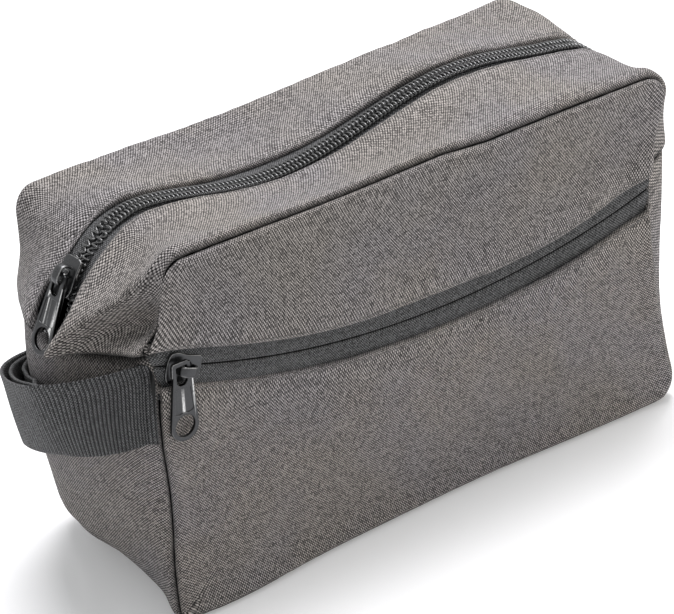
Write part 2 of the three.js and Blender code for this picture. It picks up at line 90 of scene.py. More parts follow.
def bare_tree(owner):
    """The emptied node tree of a new world or material."""
    owner.use_nodes = True
    owner.node_tree.nodes.clear()
    return owner.node_tree


def node(tree, kind, inputs=(), **settings):
    """One shader node; inputs are links or values, by place or by name."""
    made = tree.nodes.new("ShaderNode" + kind)
    for key, value in settings.items():
        setattr(made, key, value)
    for key, value in inputs.items() if isinstance(inputs, dict) else enumerate(inputs):
        if isinstance(value, bpy.types.NodeSocket):
            tree.links.new(value, made.inputs[key])
        else:
            made.inputs[key].default_value = value
    return made


def maths(tree, operation, *inputs):
    """The result of a Math node."""
    return node(tree, "Math", inputs, operation=operation).outputs[0]


def seen_directly(tree):
    """One for rays from the camera, mirrors and glass, none for the light that they catch."""
    ray = node(tree, "LightPath").outputs
    seen = maths(tree, "MAXIMUM", ray["Is Camera Ray"], ray["Is Glossy Ray"])
    return maths(tree, "MAXIMUM", seen, ray["Is Transmission Ray"])


def soft_lamp(name, place, target, size, power, colour):
    """A square area lamp at a place, facing a target."""
    data = bpy.data.lights.new(name, "AREA")
    data.shape, data.size, data.energy, data.color = "SQUARE", size, power, colour
    facing = (Vector(place) - Vector(target)).to_track_quat("Z", "Y")
    placed(name, data).matrix_world = Matrix.Translation(place) @ facing.to_matrix().to_4x4()


room = bpy.data.worlds.new("room")
tree = bare_tree(room)
room_light = node(tree, "Background", (room_tint, room_strength)).outputs[0]
room_white = node(tree, "Background", (white, 1)).outputs[0]
room_mix = node(tree, "MixShader", (seen_directly(tree), room_light, room_white))
node(tree, "OutputWorld", (room_mix.outputs[0],))
bpy.context.scene.world = room

soft_lamp("overhead", place=(0.3, 0.5, 1.9), target=(0, 0, 0.1), size=1.1, power=48,
          colour=(0.985, 0.975, 1))
soft_lamp("front_fill", place=(0.85, -0.62, 0.4), target=(0, 0, 0.08), size=0.5, power=3.0,
          colour=(1, 0.95, 0.88))

paint = bpy.data.materials.new("pale_floor")
tree = bare_tree(paint)
floor_coat = node(tree, "BsdfDiffuse", (floor_tint,)).outputs[0]
floor_shine = maths(tree, "MULTIPLY", seen_directly(tree), floor_glow)
floor_white = node(tree, "Emission", (white, floor_shine)).outputs[0]
floor_sum = node(tree, "AddShader", (floor_coat, floor_white))
node(tree, "OutputMaterial", (floor_sum.outputs[0],))
floor_mesh = bpy.data.meshes.new("floor")
floor_mesh.from_pydata([(x * floor_reach, y * floor_reach, 0)
                        for x, y in ((-1, -1), (1, -1), (1, 1), (-1, 1))], [], [(0, 1, 2, 3)])
floor_mesh.materials.append(paint)
floor = placed("floor", floor_mesh)

# Front panels: two pieces of grey melange polyester, above and below the pocket zip. Their
# outer edges are turned into the seams, and the edges at the zip are folded and topstitched.

# The sewn box and the swellings of the standing bag, in millimetres. Everything is placed in
# the CAD's own straight box first, and shaped() carries it to the standing bag.
half_length, half_depth, bag_height = 128, 49, 150
top_radii, bottom_radii = (9, 12), (5, 13)
corner_reach, corner_pull, heel_pull = 20, 2.7, 6.0
end_bulge, end_bulge_right, bulge_skew = 16, 18, 1.6
side_lean, foot_spread, heel_draw = 8, 5, 13
top_rise, top_wave, top_wave_length, top_wave_start = 1.5, 6.5, 180, 8
climb_front, climb_back, climb_skew, climb_start = 4, 8, 1.2, 0.4
lower_belly, upper_belly, back_belly = 1.4, 1.2, 5
back_lift, flat_base_back, lift_reach = 18, 12, 75
right_fullness_front, right_fullness_back, at_seam = 6, 3.2, 1.04
# The pocket zip's arc, and half the opening that it fills.
arc_radius, arc_low, arc_middle, pocket_slot = 420, 87, 8, 7.5
# How far the front's upright seams are drawn in, over which height, how tall and how deep.
# On the left it is an ear and a waist, on the right a pinch and an ear.
left_draws = ((-4.7, 119, 7.5, 9), (3.7, 52, 28, 15))
right_draws = ((3.2, 104, 30, 25), (-2.6, 139, 11, 12))
# The top seams, the foot of the front, and the corners at the back.
brow_lift = ([-128, 8, 32, 88, 128], [4.8, 4.7, 1.8, 0.9, 0])
rear_brow, rear_brow_from, rear_brow_fade = 2.2, 60, 120
low_tall, toe_left, toe_deep = 70, 2.6, 30
toe_out, toe_x, toe_wide = 5.5, -105, 38
sill_in, sill_x, sill_wide = 2.4, 25, 50
rear_out, rear_in, rear_deep = 3.5, 0.4, 40
back_corner_out, back_corner_y, back_corner_wide = 4.8, 33, 18


def bell(value, middle, width):
    """A bell curve: one in the middle, about a third at the width."""
    return np.exp(-((value - middle) / width) ** 2)


def lean(across, z):
    """Sideways lean: a parabola over the height, fading to none at the back."""
    up = z / bag_height
    return -4 * side_lean * up * (1 - up) * (1 - np.maximum(0, across) ** 2)


def heel(y, z):
    """Nearness to the raised back edge of the base, from none to one."""
    behind = np.maximum(0, (y - flat_base_back) / (half_depth - flat_base_back)) ** 2
    return behind * np.maximum(0, 1 - z / lift_reach) ** 2


def foot(along, y, z):
    """Spread of the foot, a cube of the depth below the top, less the drawn-in heel."""
    spread = foot_spread * along * np.maximum(0, 1 - z / bag_height) ** 3
    return spread - heel_draw * along ** 3 * heel(y, z)


def climb(along, across, z):
    """Rise of the top towards the right end, growing with the cube of the height."""
    rise = climb_front + (climb_back - climb_front) * (across + 1) / 2
    started = np.maximum(0, along + climb_start) / (1 + climb_start)
    return rise * started ** climb_skew * np.maximum(0, z / bag_height) ** 3


def pocket_height(x):
    """Height in the straight box of the pocket zip, a circle's arc on the standing bag. The
    bag's own leaning and rising are taken off again, which a few rounds settle."""
    z = np.full(np.shape(x), float(arc_low))
    for _ in range(6):
        off = x + lean(-1, z) + foot(x / half_length, -half_depth, z) - arc_middle
        on_arc = arc_low + arc_radius - np.sqrt(arc_radius ** 2 - off ** 2)
        z = on_arc - climb(x / half_length, -1, z)
    return z


def belly(x, y, z):
    """Fullness of the faces: half waves above and below the zip, one half wave at the back."""
    zip_z = pocket_height(x)
    above = z > zip_z
    share = np.where(above, (z - zip_z) / (bag_height - zip_z), z / zip_z)
    front = np.where(above, upper_belly, lower_belly) * np.sin(pi * np.clip(share, 0, 1))
    rear = back_belly * np.sin(pi * np.clip(z / bag_height, 0, 1))
    return np.where(y < 0, front, rear) * (1 - (x / half_length) ** 2)


def drawn_in(z, from_end, draws):
    """Sum of bell curves over the height, each fading with the distance from the end."""
    return sum(reach * bell(z, height, tall) * np.exp(-from_end / deep)
               for reach, height, tall, deep in draws)


def drawn_seams(x, across, z):
    """How far the soft seams lie off the box's straight edges, in x, y and z. The left front
    seam sticks out in an ear over the strap and is drawn in below it; the right one is drawn
    in, with an ear at its top; the foot spreads at the left, where the back corner leans out
    high up; the top seams stand up."""
    front, rear = np.clip(-across * at_seam, 0, 1), np.clip(across * at_seam, 0, 1)
    from_left = x + half_length
    low, high = np.clip(1 - z / low_tall, 0, 1) ** 2, np.maximum(0, z / bag_height)
    left, right = drawn_in(z, from_left, left_draws), drawn_in(z, half_length - x, right_draws)
    toe = toe_left * np.exp(-from_left / toe_deep) * low * front ** 2
    rear_corner = np.exp(-from_left / rear_deep) * rear ** 2 * (rear_out * high ** 9 - rear_in)
    rear_share = np.clip((rear_brow_from - x) / rear_brow_fade, 0, 1)
    sill = sill_in * bell(x, sill_x, sill_wide) - toe_out * bell(x, toe_x, toe_wide)
    brow = np.interp(x, *brow_lift) * front ** 4 + rear_brow * rear_share * rear ** 4
    return (left * front ** 3 - right * front ** 9 - toe - rear_corner,
            sill * low * front ** 2,
            brow * high ** 6)


def shaped(x, y, z):
    """Carries points of the straight box to the soft bag: the CAD's swellings, the drawn
    seams, corners between end and top or base that are rounder in mid depth, and a right
    top corner that is filled out towards the back."""
    x, y, z = np.broadcast_arrays(*(np.asarray(v, float) for v in (x, y, z)))
    along, across, up = x / half_length, y / half_depth, z / bag_height
    share, swell = np.clip(up, 0, 1), 1 - across ** 2
    fullness = np.where(across < 0, right_fullness_front, right_fullness_back)
    full = 1 - np.clip(np.abs(across) * at_seam, 0, 1) ** np.where(x > 0, fullness, 2)
    bulge = np.where(x > 0, end_bulge_right, end_bulge) * np.sin(pi * share ** bulge_skew)
    wave = np.sin(2 * pi * (x - top_wave_start) / top_wave_length)
    crown = (top_rise + top_wave * wave) * (1 - along ** 6) * swell * np.maximum(0, up) ** 3
    past_x = np.maximum(0, np.abs(x) - half_length + corner_reach) / corner_reach
    past_top = np.maximum(0, z - bag_height + corner_reach) / corner_reach
    past_base = np.maximum(0, corner_reach - z) / corner_reach * (x < 0)
    corner_out = back_corner_out * bell(y, back_corner_y, back_corner_wide) * (x > 0)
    pull_top = corner_pull * np.maximum(0, swell) - corner_out * (1 - np.clip(across, 0, 1) ** 6)
    pull_top = pull_top * past_x * past_top
    pull_base = heel_pull * np.maximum(0, swell) * past_x * past_base
    drawn_x, drawn_y, drawn_z = drawn_seams(x, across, z)
    moved_x = x + bulge * full * along ** 3 + lean(across, z) + foot(along, y, z) + drawn_x
    moved_z = z + crown + climb(along, across, z) + back_lift * heel(y, z) + drawn_z
    return np.stack([moved_x - np.sign(x) * (pull_top + pull_base),
                     y + belly(x, y, z) * across ** 3 + drawn_y,
                     np.maximum(0, moved_z - pull_top + pull_base)], -1)


def grid(u, v):
    """The two parameters of a grid, the first along its rows."""
    return np.meshgrid(u, v, indexing="ij")


def graded(length, step, near=True, far=True):
    """Stations from 0 to a length, an even step apart, and close together at its ends."""
    close = np.array([0, 1.2, 1.5, 1.9, 2.3, 2.7, 3.1, 3.5, 4, 4.5, 5, 5.6, 6.1, 6.6, 7.1, 7.8, 9])
    single = np.array([0, 0.4])
    first, last = close if near else single, length - (close if far else single)[::-1]
    count = max(2, round((last[0] - first[-1]) / step))
    return np.concatenate([first, np.linspace(first[-1], last[0], count + 1)[1:-1], last])


seam_sweep, fold_sweep, flat_sweep = 3 * pi / 4, pi, pi / 2
lip_radius, lip_crown, lip_settle, seam_slit, tuck = 1.7, 1.2, 5, 0.3, 1.2


def edge(t, sweep, crown=lip_crown, settle=lip_settle, radius=lip_radius, slit=seam_slit):
    """Where cloth lies that is t along it from its cut edge, as a distance from the seam
    and a height: straight in the seam for a tuck, over an arc of this radius that turns
    through sweep, then on a swell that dies away as a bell curve."""
    arc = radius * sweep
    centre = radius
    if sweep == seam_sweep:
        centre = radius * (1 + math.sqrt(2)) - crown + slit
    elif sweep == flat_sweep:
        centre = radius + slit
    hidden = np.maximum(0, tuck - t)
    angle = pi / 2 + np.clip(1 - (t - tuck) / arc, 0, 1) * sweep
    past = np.maximum(0, t - tuck - arc)
    off = np.where(past > 0, t + (centre - arc - tuck) * np.exp(-past / lip_settle),
                   centre + radius * np.cos(angle) - hidden * math.sin(pi / 2 + sweep))
    high = np.where(past > 0, crown * np.exp(-(past / settle) ** 2),
                    crown - radius + radius * np.sin(angle)
                    + hidden * math.cos(pi / 2 + sweep))
    return off - t, high


def ripple(u, v, size, seed, count=7):
    """Uneven cloth: the mean of plane waves about one size long, in seeded directions."""
    draw = np.random.default_rng(seed)
    total = 0
    for _ in range(count):
        angle, phase = draw.uniform(0, 2 * pi, 2)
        number = 2 * pi / (size * draw.uniform(0.7, 1.5))
        total = total + np.cos(number * (u * math.cos(angle) + v * math.sin(angle)) + phase)
    return total / math.sqrt(count)


def ripples(u, v, layers):
    """Sum of ripples, each with its height, its size and its seed."""
    return sum(tall * ripple(u, v, size, seed) for tall, size, seed in layers)


pucker_tall, pucker_length, pucker_reach = 0.16, 9, 7


def pucker(run, t, seed):
    """Small gathers across a seam: waves along its run that fade with the distance t."""
    return pucker_tall * ripple(run, 0 * run, pucker_length, seed, 9) * np.exp(-t / pucker_reach)


stitch_line, stitch_groove, groove_wide = 6.6, 0.45, 0.8


def groove(t):
    """The furrow that a row of topstitches draws into the cloth."""
    return -stitch_groove * bell(t, stitch_line, groove_wide)


shut_from, shut_to, shut_left = 112, 147, -100
shut_fade_low, shut_fade_high, shut_cover = 7, 5, 9
shut_crown, shut_radius, shut_slit = 0.75, 0.8, 0.55
shade_reach = 2.4


def closed_seam(x, z):
    """One where the left front seam is pulled shut, above its ear, and none elsewhere."""
    above_ear = np.clip((z - shut_from) / shut_fade_low, 0, 1)
    return above_ear * np.clip((shut_to - z) / shut_fade_high, 0, 1) * (x < shut_left)


def in_seam(*distances):
    """Share of the shade in a seam: whole in the tuck, none where the lip ends."""
    return np.clip(1 - (np.minimum.reduce(distances) - tuck) / shade_reach, 0, 1)


def seam_edge(t, shut):
    """The lip of a panel or gusset seam; where shut, both sides meet without a slit."""
    return edge(t, seam_sweep, crown=lip_crown * (1 - shut_crown * shut),
                radius=lip_radius * (1 - shut_radius * shut), slit=seam_slit - shut_slit * shut)


def round_corner(a, b, radius):
    """Bends a square corner round: a and b are distances past two lines corner_reach
    inside its edges. Each square ring about it becomes a ring with a rounded corner."""
    a, b = np.broadcast_arrays(a, b)
    big = np.maximum(a, b)
    ring = np.maximum(big, 1e-9)
    bend = radius * (ring / corner_reach) ** 2
    run = np.minimum(a, b) / ring * (ring - bend + pi / 4 * bend)
    angle = np.maximum(0, run - (ring - bend)) / bend
    far = ring - bend * (1 - np.cos(angle))
    near = np.where(run < ring - bend, run, ring - bend + bend * np.sin(angle))
    inside = np.minimum(a, b) > 0
    return (np.where(inside, np.where(a >= b, far, near), a),
            np.where(inside, np.where(a >= b, near, far), b))


def rounded_outline(x, z, inset=0, top=top_radii, bottom=bottom_radii):
    """Bends the square edge of an upright sheet's grid to the radii of its left and right
    corners. The sheet ends this inset inside the panels' outline."""
    line_x, margin = half_length - inset - corner_reach, inset + corner_reach
    for side, radii in ((1, top), (-1, bottom)):
        a = np.abs(x) - line_x
        b = z - (bag_height - margin) if side > 0 else margin - z
        a, b = round_corner(a, b, np.where(x < 0, *radii))
        x = np.sign(x) * (a + line_x)
        z = b + (bag_height - margin) if side > 0 else margin - b
    return x, z


def outline_distance(x, z):
    """Distance inside the panel's rounded outline, and the unit direction inwards."""
    upper = z > bag_height / 2
    radius = np.where(upper, np.where(x < 0, *top_radii), np.where(x < 0, *bottom_radii))
    qx = np.abs(x) - (half_length - radius)
    qz = np.where(upper, z, bag_height - z) - (bag_height - radius)
    outer = np.hypot(np.maximum(qx, 0), np.maximum(qz, 0))
    t = radius - outer - np.minimum(np.maximum(qx, qz), 0)
    flat_x = (qx > qz).astype(float)
    inward_x = np.where(outer > 0, np.maximum(qx, 0) / np.maximum(outer, 1e-9), flat_x)
    inward_z = np.where(outer > 0, np.maximum(qz, 0) / np.maximum(outer, 1e-9), 1 - flat_x)
    return np.maximum(t, 0), -np.sign(x) * inward_x, np.where(upper, -1, 1) * inward_z


fan_tall, fan_rays, fan_turn, fan_middle, fan_wide = 0.6, 10, 2.2, 30, 20
upper_fold_crown, lower_fold_crown, front_fold_settle = 1.6, 0.6, 6
panel_margin, front_ripples = 25, ((0.7, 70, 11), (0.2, 24, 12))


def fan(x, z):
    """Soft creases that spread from the top right corner over the front panel."""
    across, down = half_length - x, bag_height - z
    rays = np.cos(fan_rays * np.arctan2(down, across) - fan_turn)
    return fan_tall * rays * bell(np.hypot(across, down), fan_middle, fan_wide)


def front_face(x, z, above, lift=0):
    """The front panels' outer face at box places: lips at the seams, folds at the zip."""
    zip_z = pocket_height(x)
    slant = np.cos(np.arctan(np.gradient(zip_z, axis=0) / np.gradient(x, axis=0)))
    side, fold_crown = (1, upper_fold_crown) if above else (-1, lower_fold_crown)
    t_zip = np.maximum(0, side * (z - zip_z) - pocket_slot) * slant
    t_seam, in_x, in_z = outline_distance(x, z)
    seam_off, seam_high = seam_edge(t_seam, closed_seam(x, z))
    zip_off, zip_high = edge(t_zip, fold_sweep, fold_crown, front_fold_settle)
    out = seam_high + zip_high + groove(t_zip) + lift
    out = out + pucker(x, t_zip, 3 + side) + pucker(x + z, t_seam, 7 + side)
    uneven = ripples(x, z, front_ripples) + fan(x, z)
    out = out + np.clip(t_seam / panel_margin, 0, 1) * uneven
    return shaped(x + in_x * seam_off, -half_depth - out,
                  z + in_z * seam_off + side * zip_off / slant)


def grid_faces(rows, columns, ring):
    """Quads between the neighbours of a grid, its rows closed up where ring, and the row
    and column of each of their corners; those run on past the last column of a ring."""
    i, j = grid(np.arange(rows - 1), np.arange(columns if ring else columns - 1))
    spots = np.stack([np.stack([i + a, j + b], -1).reshape(-1, 2)
                      for a, b in ((0, 0), (1, 0), (1, 1), (0, 1))], 1)
    return spots[..., 0] * columns + spots[..., 1] % columns, spots


def surface(name, points, flat=None, ring=False, middle=(0, 0, 75), crease=None):
    """A mesh from a grid of points in millimetres: quads between neighbours, its rows
    closed up and its ends capped where ring. Faces point away from the middle. The crease
    is a share kept on each point: how deep it lies in a seam, darkened as painted shade."""
    rows, columns = points.shape[:2]
    faces, spots = grid_faces(rows, columns, ring)
    listed_points = points.reshape(-1, 3)
    corners = listed_points[faces]
    normals = np.cross(corners[:, 2] - corners[:, 0], corners[:, 3] - corners[:, 1])
    centre = listed_points.mean(0) if ring else np.array(middle, float)
    flow = ((corners.mean(1) - centre) * normals).sum()
    if flow < 0:
        faces, spots = faces[:, ::-1], spots[:, ::-1]
    listed = faces.tolist()
    if ring:
        first, last = list(range(columns)), list(range((rows - 1) * columns, rows * columns))
        listed += [first, last[::-1]] if flow > 0 else [first[::-1], last]
    mesh = bpy.data.meshes.new(name)
    mesh.from_pydata((listed_points / 1000).tolist(), [], listed)
    if flat is not None:
        uv = np.zeros((len(mesh.loops), 2))
        on_cloth = flat[spots[:, :, 0], spots[:, :, 1]].reshape(-1, 2) / 1000
        uv[:len(on_cloth)] = on_cloth
        mesh.uv_layers.new(name="flat").data.foreach_set("uv", uv.ravel())
    if crease is not None:
        mesh.attributes.new("crease", "FLOAT", "POINT").data.foreach_set("value", crease.ravel())
    mesh.polygons.foreach_set("use_smooth", [True] * len(mesh.polygons))
    return placed(name, mesh)


def group(name, inputs, outputs):
    """An empty shader node group with these sockets."""
    made = bpy.data.node_groups.new(name, "ShaderNodeTree")
    for direction, sockets in (("INPUT", inputs), ("OUTPUT", outputs)):
        for label, kind in sockets:
            made.interface.new_socket(label, in_out=direction, socket_type="NodeSocket" + kind)
    entry, out = made.nodes.new("NodeGroupInput"), made.nodes.new("NodeGroupOutput")
    return made, entry.outputs, out.inputs


def mixed(tree, share, first, second, kind="RGBA", blend="MIX"):
    """The result of a Mix node of colours, vectors or numbers."""
    slots = {"RGBA": (0, 6, 7, 2), "VECTOR": (0, 4, 5, 1), "FLOAT": (0, 2, 3, 0)}[kind]
    inputs = dict(zip(slots, (share, first, second)))
    return node(tree, "Mix", inputs, data_type=kind, blend_type=blend).outputs[slots[3]]


def dimmed(tree, colour, share):
    """A colour times a share that changes over the surface."""
    grey = node(tree, "CombineColor", (share, share, share)).outputs[0]
    return mixed(tree, 1.0, colour, grey, blend="MULTIPLY")


def ranged(tree, value, low, high, to_low, to_high):
    """A value carried from one range to another and held at its ends."""
    return node(tree, "MapRange", (value, low, high, to_low, to_high)).outputs[0]


def noise(tree, place, scale, detail):
    """Noise about a half, at a place."""
    return node(tree, "TexNoise", {"Vector": place, "Scale": scale, "Detail": detail}).outputs[0]


# The weave: plain weave of mixed yarns. Warp and weft lie on top in turn, each yarn has its
#  own tone that drifts along it, and larger clouds warm the cloth. Painted shade darkens the
#  colour where the yarns dip between their crowns.
tone_drift, tone_step, weft_tones = 0.2, 5.3, 9.0
streak_share, fleck_share, over_share, over_middle = 0.8, 0.65, 0.75, 0.6
cloud_scale, cool_hue, mottle_scale = 18.0, (0.975, 0.965, 0.975, 1.0), 260.0
hollow_shade_gain, hollow_shade_base = 0.8, 0.42
weave, have, give = group(
    "plain_weave",
    [("Place", "Vector"), ("Yarn", "Float"), ("Dark", "Color"), ("Light", "Color"),
     ("Cloud", "Color"), ("Contrast", "Float")],
    [("Color", "Color"), ("Height", "Float")])
pitch = node(weave, "CombineXYZ", (have["Yarn"], have["Yarn"], 1.0)).outputs[0]
yarns = node(weave, "VectorMath", (have["Place"], pitch), operation="DIVIDE")
spot = node(weave, "SeparateXYZ", (yarns.outputs[0],)).outputs
warp, weft = maths(weave, "FLOOR", spot[0]), maths(weave, "FLOOR", spot[1])
over = maths(weave, "FLOORED_MODULO", maths(weave, "ADD", warp, weft), 2.0)
in_warp, in_weft = (maths(weave, "SINE", maths(weave, "MULTIPLY", maths(weave, "FRACT", s), pi))
                    for s in (spot[0], spot[1]))
across_yarn = mixed(weave, over, in_warp, in_weft, "FLOAT")
along_yarn = mixed(weave, over, in_weft, in_warp, "FLOAT")
height = maths(weave, "MULTIPLY", across_yarn, maths(weave, "MULTIPLY_ADD", along_yarn, 0.5, 0.5))
warp_spot = node(weave, "CombineXYZ", (maths(weave, "MULTIPLY", warp, tone_step),
                                       maths(weave, "MULTIPLY", spot[1], tone_drift), 0.0))
weft_spot = node(weave, "CombineXYZ", (maths(weave, "MULTIPLY", spot[0], tone_drift),
                                       maths(weave, "MULTIPLY", weft, tone_step), weft_tones))
tone_spot = mixed(weave, over, warp_spot.outputs[0], weft_spot.outputs[0], "VECTOR")
crossing = node(weave, "CombineXYZ", (warp, weft, 0.0)).outputs[0]
speck = node(weave, "TexWhiteNoise", {"Vector": crossing}).outputs[0]
streak, fleck, checker = (
    maths(weave, "MULTIPLY", maths(weave, "SUBTRACT", value, middle), part)
    for value, middle, part in ((noise(weave, tone_spot, 1.0, 1.0), 0.5, streak_share),
                                (speck, 0.5, fleck_share), (over, over_middle, over_share)))
uneven = maths(weave, "ADD", maths(weave, "ADD", streak, fleck), checker)
spread = maths(weave, "MULTIPLY", uneven, have["Contrast"])
share = node(weave, "Clamp", (maths(weave, "ADD", spread, 0.5),)).outputs[0]
yarn_colour = mixed(weave, share, have["Dark"], have["Light"])
cloudy = ranged(weave, noise(weave, have["Place"], cloud_scale, 3.0), 0.4, 0.6, 0.0, 1.0)
hue = mixed(weave, cloudy, cool_hue, have["Cloud"])
clouded = mixed(weave, 1.0, yarn_colour, hue, blend="MULTIPLY")
patch = ranged(weave, noise(weave, have["Place"], mottle_scale, 2.0), 0.3, 0.7, 0.9, 1.08)
# Painted shade in the weave's hollows, darker where the yarn lies low, times random mottled
# patches.
shade_and_mottle = maths(weave, "MULTIPLY", maths(weave, "MULTIPLY_ADD", height, hollow_shade_gain, hollow_shade_base),
               patch)
weave.links.new(dimmed(weave, clouded, shade_and_mottle), give["Color"])
weave.links.new(height, give["Height"])
deepest_shade, yarn_relief, sheen_roughness, cloth_gloss = 0.3, 0.6, 0.4, 0.25


def woven(name, yarn, dark, light, cloud, contrast, depth, roughness, sheen, ribs=None):
    """A woven material on the piece's own flat map: weave group, the shade in the seams,
    the shade between ribs if it has them, bump and plain shader."""
    made = bpy.data.materials.new(name)
    tree = bare_tree(made)
    cloth = node(tree, "Group", node_tree=weave)
    tree.links.new(node(tree, "UVMap", uv_map="flat").outputs[0], cloth.inputs["Place"])
    for key, value in (("Yarn", yarn), ("Dark", (*dark, 1)), ("Light", (*light, 1)),
                       ("Cloud", (*cloud, 1)), ("Contrast", contrast)):
        cloth.inputs[key].default_value = value
    bump = node(tree, "Bump", {"Strength": yarn_relief, "Distance": depth,
                               "Height": cloth.outputs["Height"]})
    # Painted shade: the colour darkens with the crease share, to deepest_shade deep in a seam.
    deep = node(tree, "Attribute", attribute_name="crease").outputs["Fac"]
    colour = dimmed(tree, cloth.outputs["Color"], ranged(tree, deep, 0.0, 1.0, 1.0, deepest_shade))
    if ribs:
        colour = dimmed(tree, colour, ribs(tree))
    shader = node(tree, "BsdfPrincipled", {
        "Base Color": colour, "Roughness": roughness, "Normal": bump.outputs[0],
        "Sheen Weight": sheen, "Sheen Roughness": sheen_roughness,
        "Specular IOR Level": cloth_gloss})
    node(tree, "OutputMaterial", (shader.outputs[0],))
    return made


grey_cloth = woven("grey_melange", yarn=0.0006, dark=(0.030, 0.028, 0.028),
                   light=(0.49, 0.465, 0.46), cloud=(1.03, 1.0, 0.94), contrast=1.4,
                   depth=0.00028, roughness=0.92, sheen=0.1)
melange = (0.9, grey_cloth, "grey_cloth")


def dress(piece, material, slot, *nodes):
    """Gives a piece its material and hides the CAD nodes that it stands for; the slot is not used.
    """
    piece.data.materials.append(material)
    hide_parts(*nodes)


def sheet(name, points, flat, stuff, *nodes, **kept):
    """A sewn sheet: its outer face, its two flat lengths, what it is made of as thickness,
    material and slot, and the CAD nodes that it stands for. Its wall grows inwards."""
    thickness, material, slot = stuff
    piece = surface(name, points, np.stack(flat, -1), **kept)
    wall = piece.modifiers.new("wall", "SOLIDIFY")
    wall.thickness, wall.offset = thickness / 1000, -1
    dress(piece, material, slot, *nodes)
    return piece


x_line = graded(2 * half_length, 2.6) - half_length
for name, above, rows_over in (("front_upper", True, 50), ("front_lower", False, 90)):
    rows = graded(rows_over, 2.4)
    x, s = grid(x_line, rows / rows[-1])
    zip_edge = pocket_height(x) + (pocket_slot if above else -pocket_slot)
    z = zip_edge + (bag_height - zip_edge) * s if above else zip_edge * s
    x, z = rounded_outline(x, z)
    t_seam = outline_distance(x, z)[0] + shut_cover * closed_seam(x, z)
    piece = sheet(f"{name}_cloth", front_face(x, z, above), (x, z), melange, f"{name}_panel",
                  crease=in_seam(t_seam))
    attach(piece, "bag")

# Back panel: one piece of the same cloth, seamed all round, fuller than the front and drawn
# up off the floor along its lower edge.
back_ripples = ((1.1, 80, 22), (0.3, 30, 23))
x, z = rounded_outline(*grid(x_line, graded(bag_height, 2.8)))
t, in_x, in_z = outline_distance(x, z)
off, high = edge(t, seam_sweep)
uneven = np.clip(t / panel_margin, 0, 1) * ripples(x, z, back_ripples)
out = high + pucker(x - z, t, 21) + uneven
points = shaped(x + in_x * off, half_depth + out, z + in_z * off)
piece = sheet("back_cloth", points, (x, z), melange, "back_panel", crease=in_seam(t))
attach(piece, "bag")

# Upper gusset: a strip of the cloth on each side of the main zip, up the left end, over the
# top and down the right end, with a soft fold from the left front corner to the zip's end.
# Each is two pieces that meet in the middle, because the ends stay sewn while that opens.
end_seam, end_seam_rise, shoulder, end_shade = 112, 6, 134, 6.0
end_crown_left, end_crown_right, end_lip_radius, end_settle = 2.8, 0.7, 2.0, 6
main_slot, main_opening, main_slider_rest = 8, 5.2, 22
hem_crown, hem_settle, hem_back, hem_front, hem_s, hem_wide = 1.1, 7, 3.2, -2.2, 118, 30
fold_start, fold_end, fold_inner, fold_run, fold_slope = 2, 35, 9, 34, 0.66
fold_tall, fold_low, fold_below, fold_above = 8.6, 1.0, 2.6, 7.0
fold_lead, fold_fade, ridge_from, ridge_fade = 8, 9, 4, 10
facet_deep, facet_wide, facet_start, facet_end, facet_fade = 5.4, 8, 9, 22, 8
front_fade, end_fade = 6, 3
gusset_margin, hem_margin, gusset_swell, gusset_swell_size = 15, 12, 0.45, 38


def end_to_end(s, height, radii):
    """Place and outward direction at a distance along a route that goes up the left end,
    round a corner, along the bag, round the other corner and down the right end."""
    left, right = radii
    over = s - height + left
    run = 2 * half_length - left - right
    first = np.clip(over, 0, pi / 2 * left) / left
    along = over - pi / 2 * left
    second = np.clip(along - run, 0, pi / 2 * right) / right
    down = np.maximum(0, along - run - pi / 2 * right)
    x = -half_length + left * (1 - np.cos(first)) + np.clip(along, 0, run) + right * np.sin(second)
    z = np.minimum(s, height - left) + left * np.sin(first) - right * (1 - np.cos(second)) - down
    angle = first + second
    return x, z, -np.cos(angle), np.sin(angle)


def route_length(height, radii):
    """Both heights and the length of such a route, less what its round corners save."""
    return 2 * height + 2 * half_length - (2 - pi / 2) * sum(radii)


upper_length = route_length(bag_height - end_seam, top_radii)


def upper_route(s):
    """The route of the upper gusset, from the left end's seam over the top to the right's."""
    x, z, nx, nz = end_to_end(s, bag_height - end_seam, top_radii)
    return x, z + end_seam, nx, nz


def seam_rise(x, y, z):
    """Rise of the left end's seam towards its front corner, fading above and below it."""
    near = np.maximum(0, 1 - np.abs(z - end_seam) / (shoulder - end_seam))
    return np.where((x < 0) & (y < 0), end_seam_rise * (y / half_depth) ** 2 * near, 0)


def upper_place(s, y, high):
    """A point of the upper gusset: route place, depth and height over the cloth's face."""
    x, z, nx, nz = upper_route(s)
    return shaped(x + nx * high, y, z + nz * high + seam_rise(x, y, z))


def parting(s):
    """Half the gap that the unzipped end stands open by, a half wave below the slider."""
    return main_opening * np.sin(pi * np.clip(s / main_slider_rest, 0, 1))


def hem(s, side):
    """Distance of a folded edge from the zip's middle: wider where the zip is parted, and
    shifted to the back where the bag's top bends."""
    return main_slot + parting(s) + (hem_back if side > 0 else hem_front) * bell(s, hem_s, hem_wide)


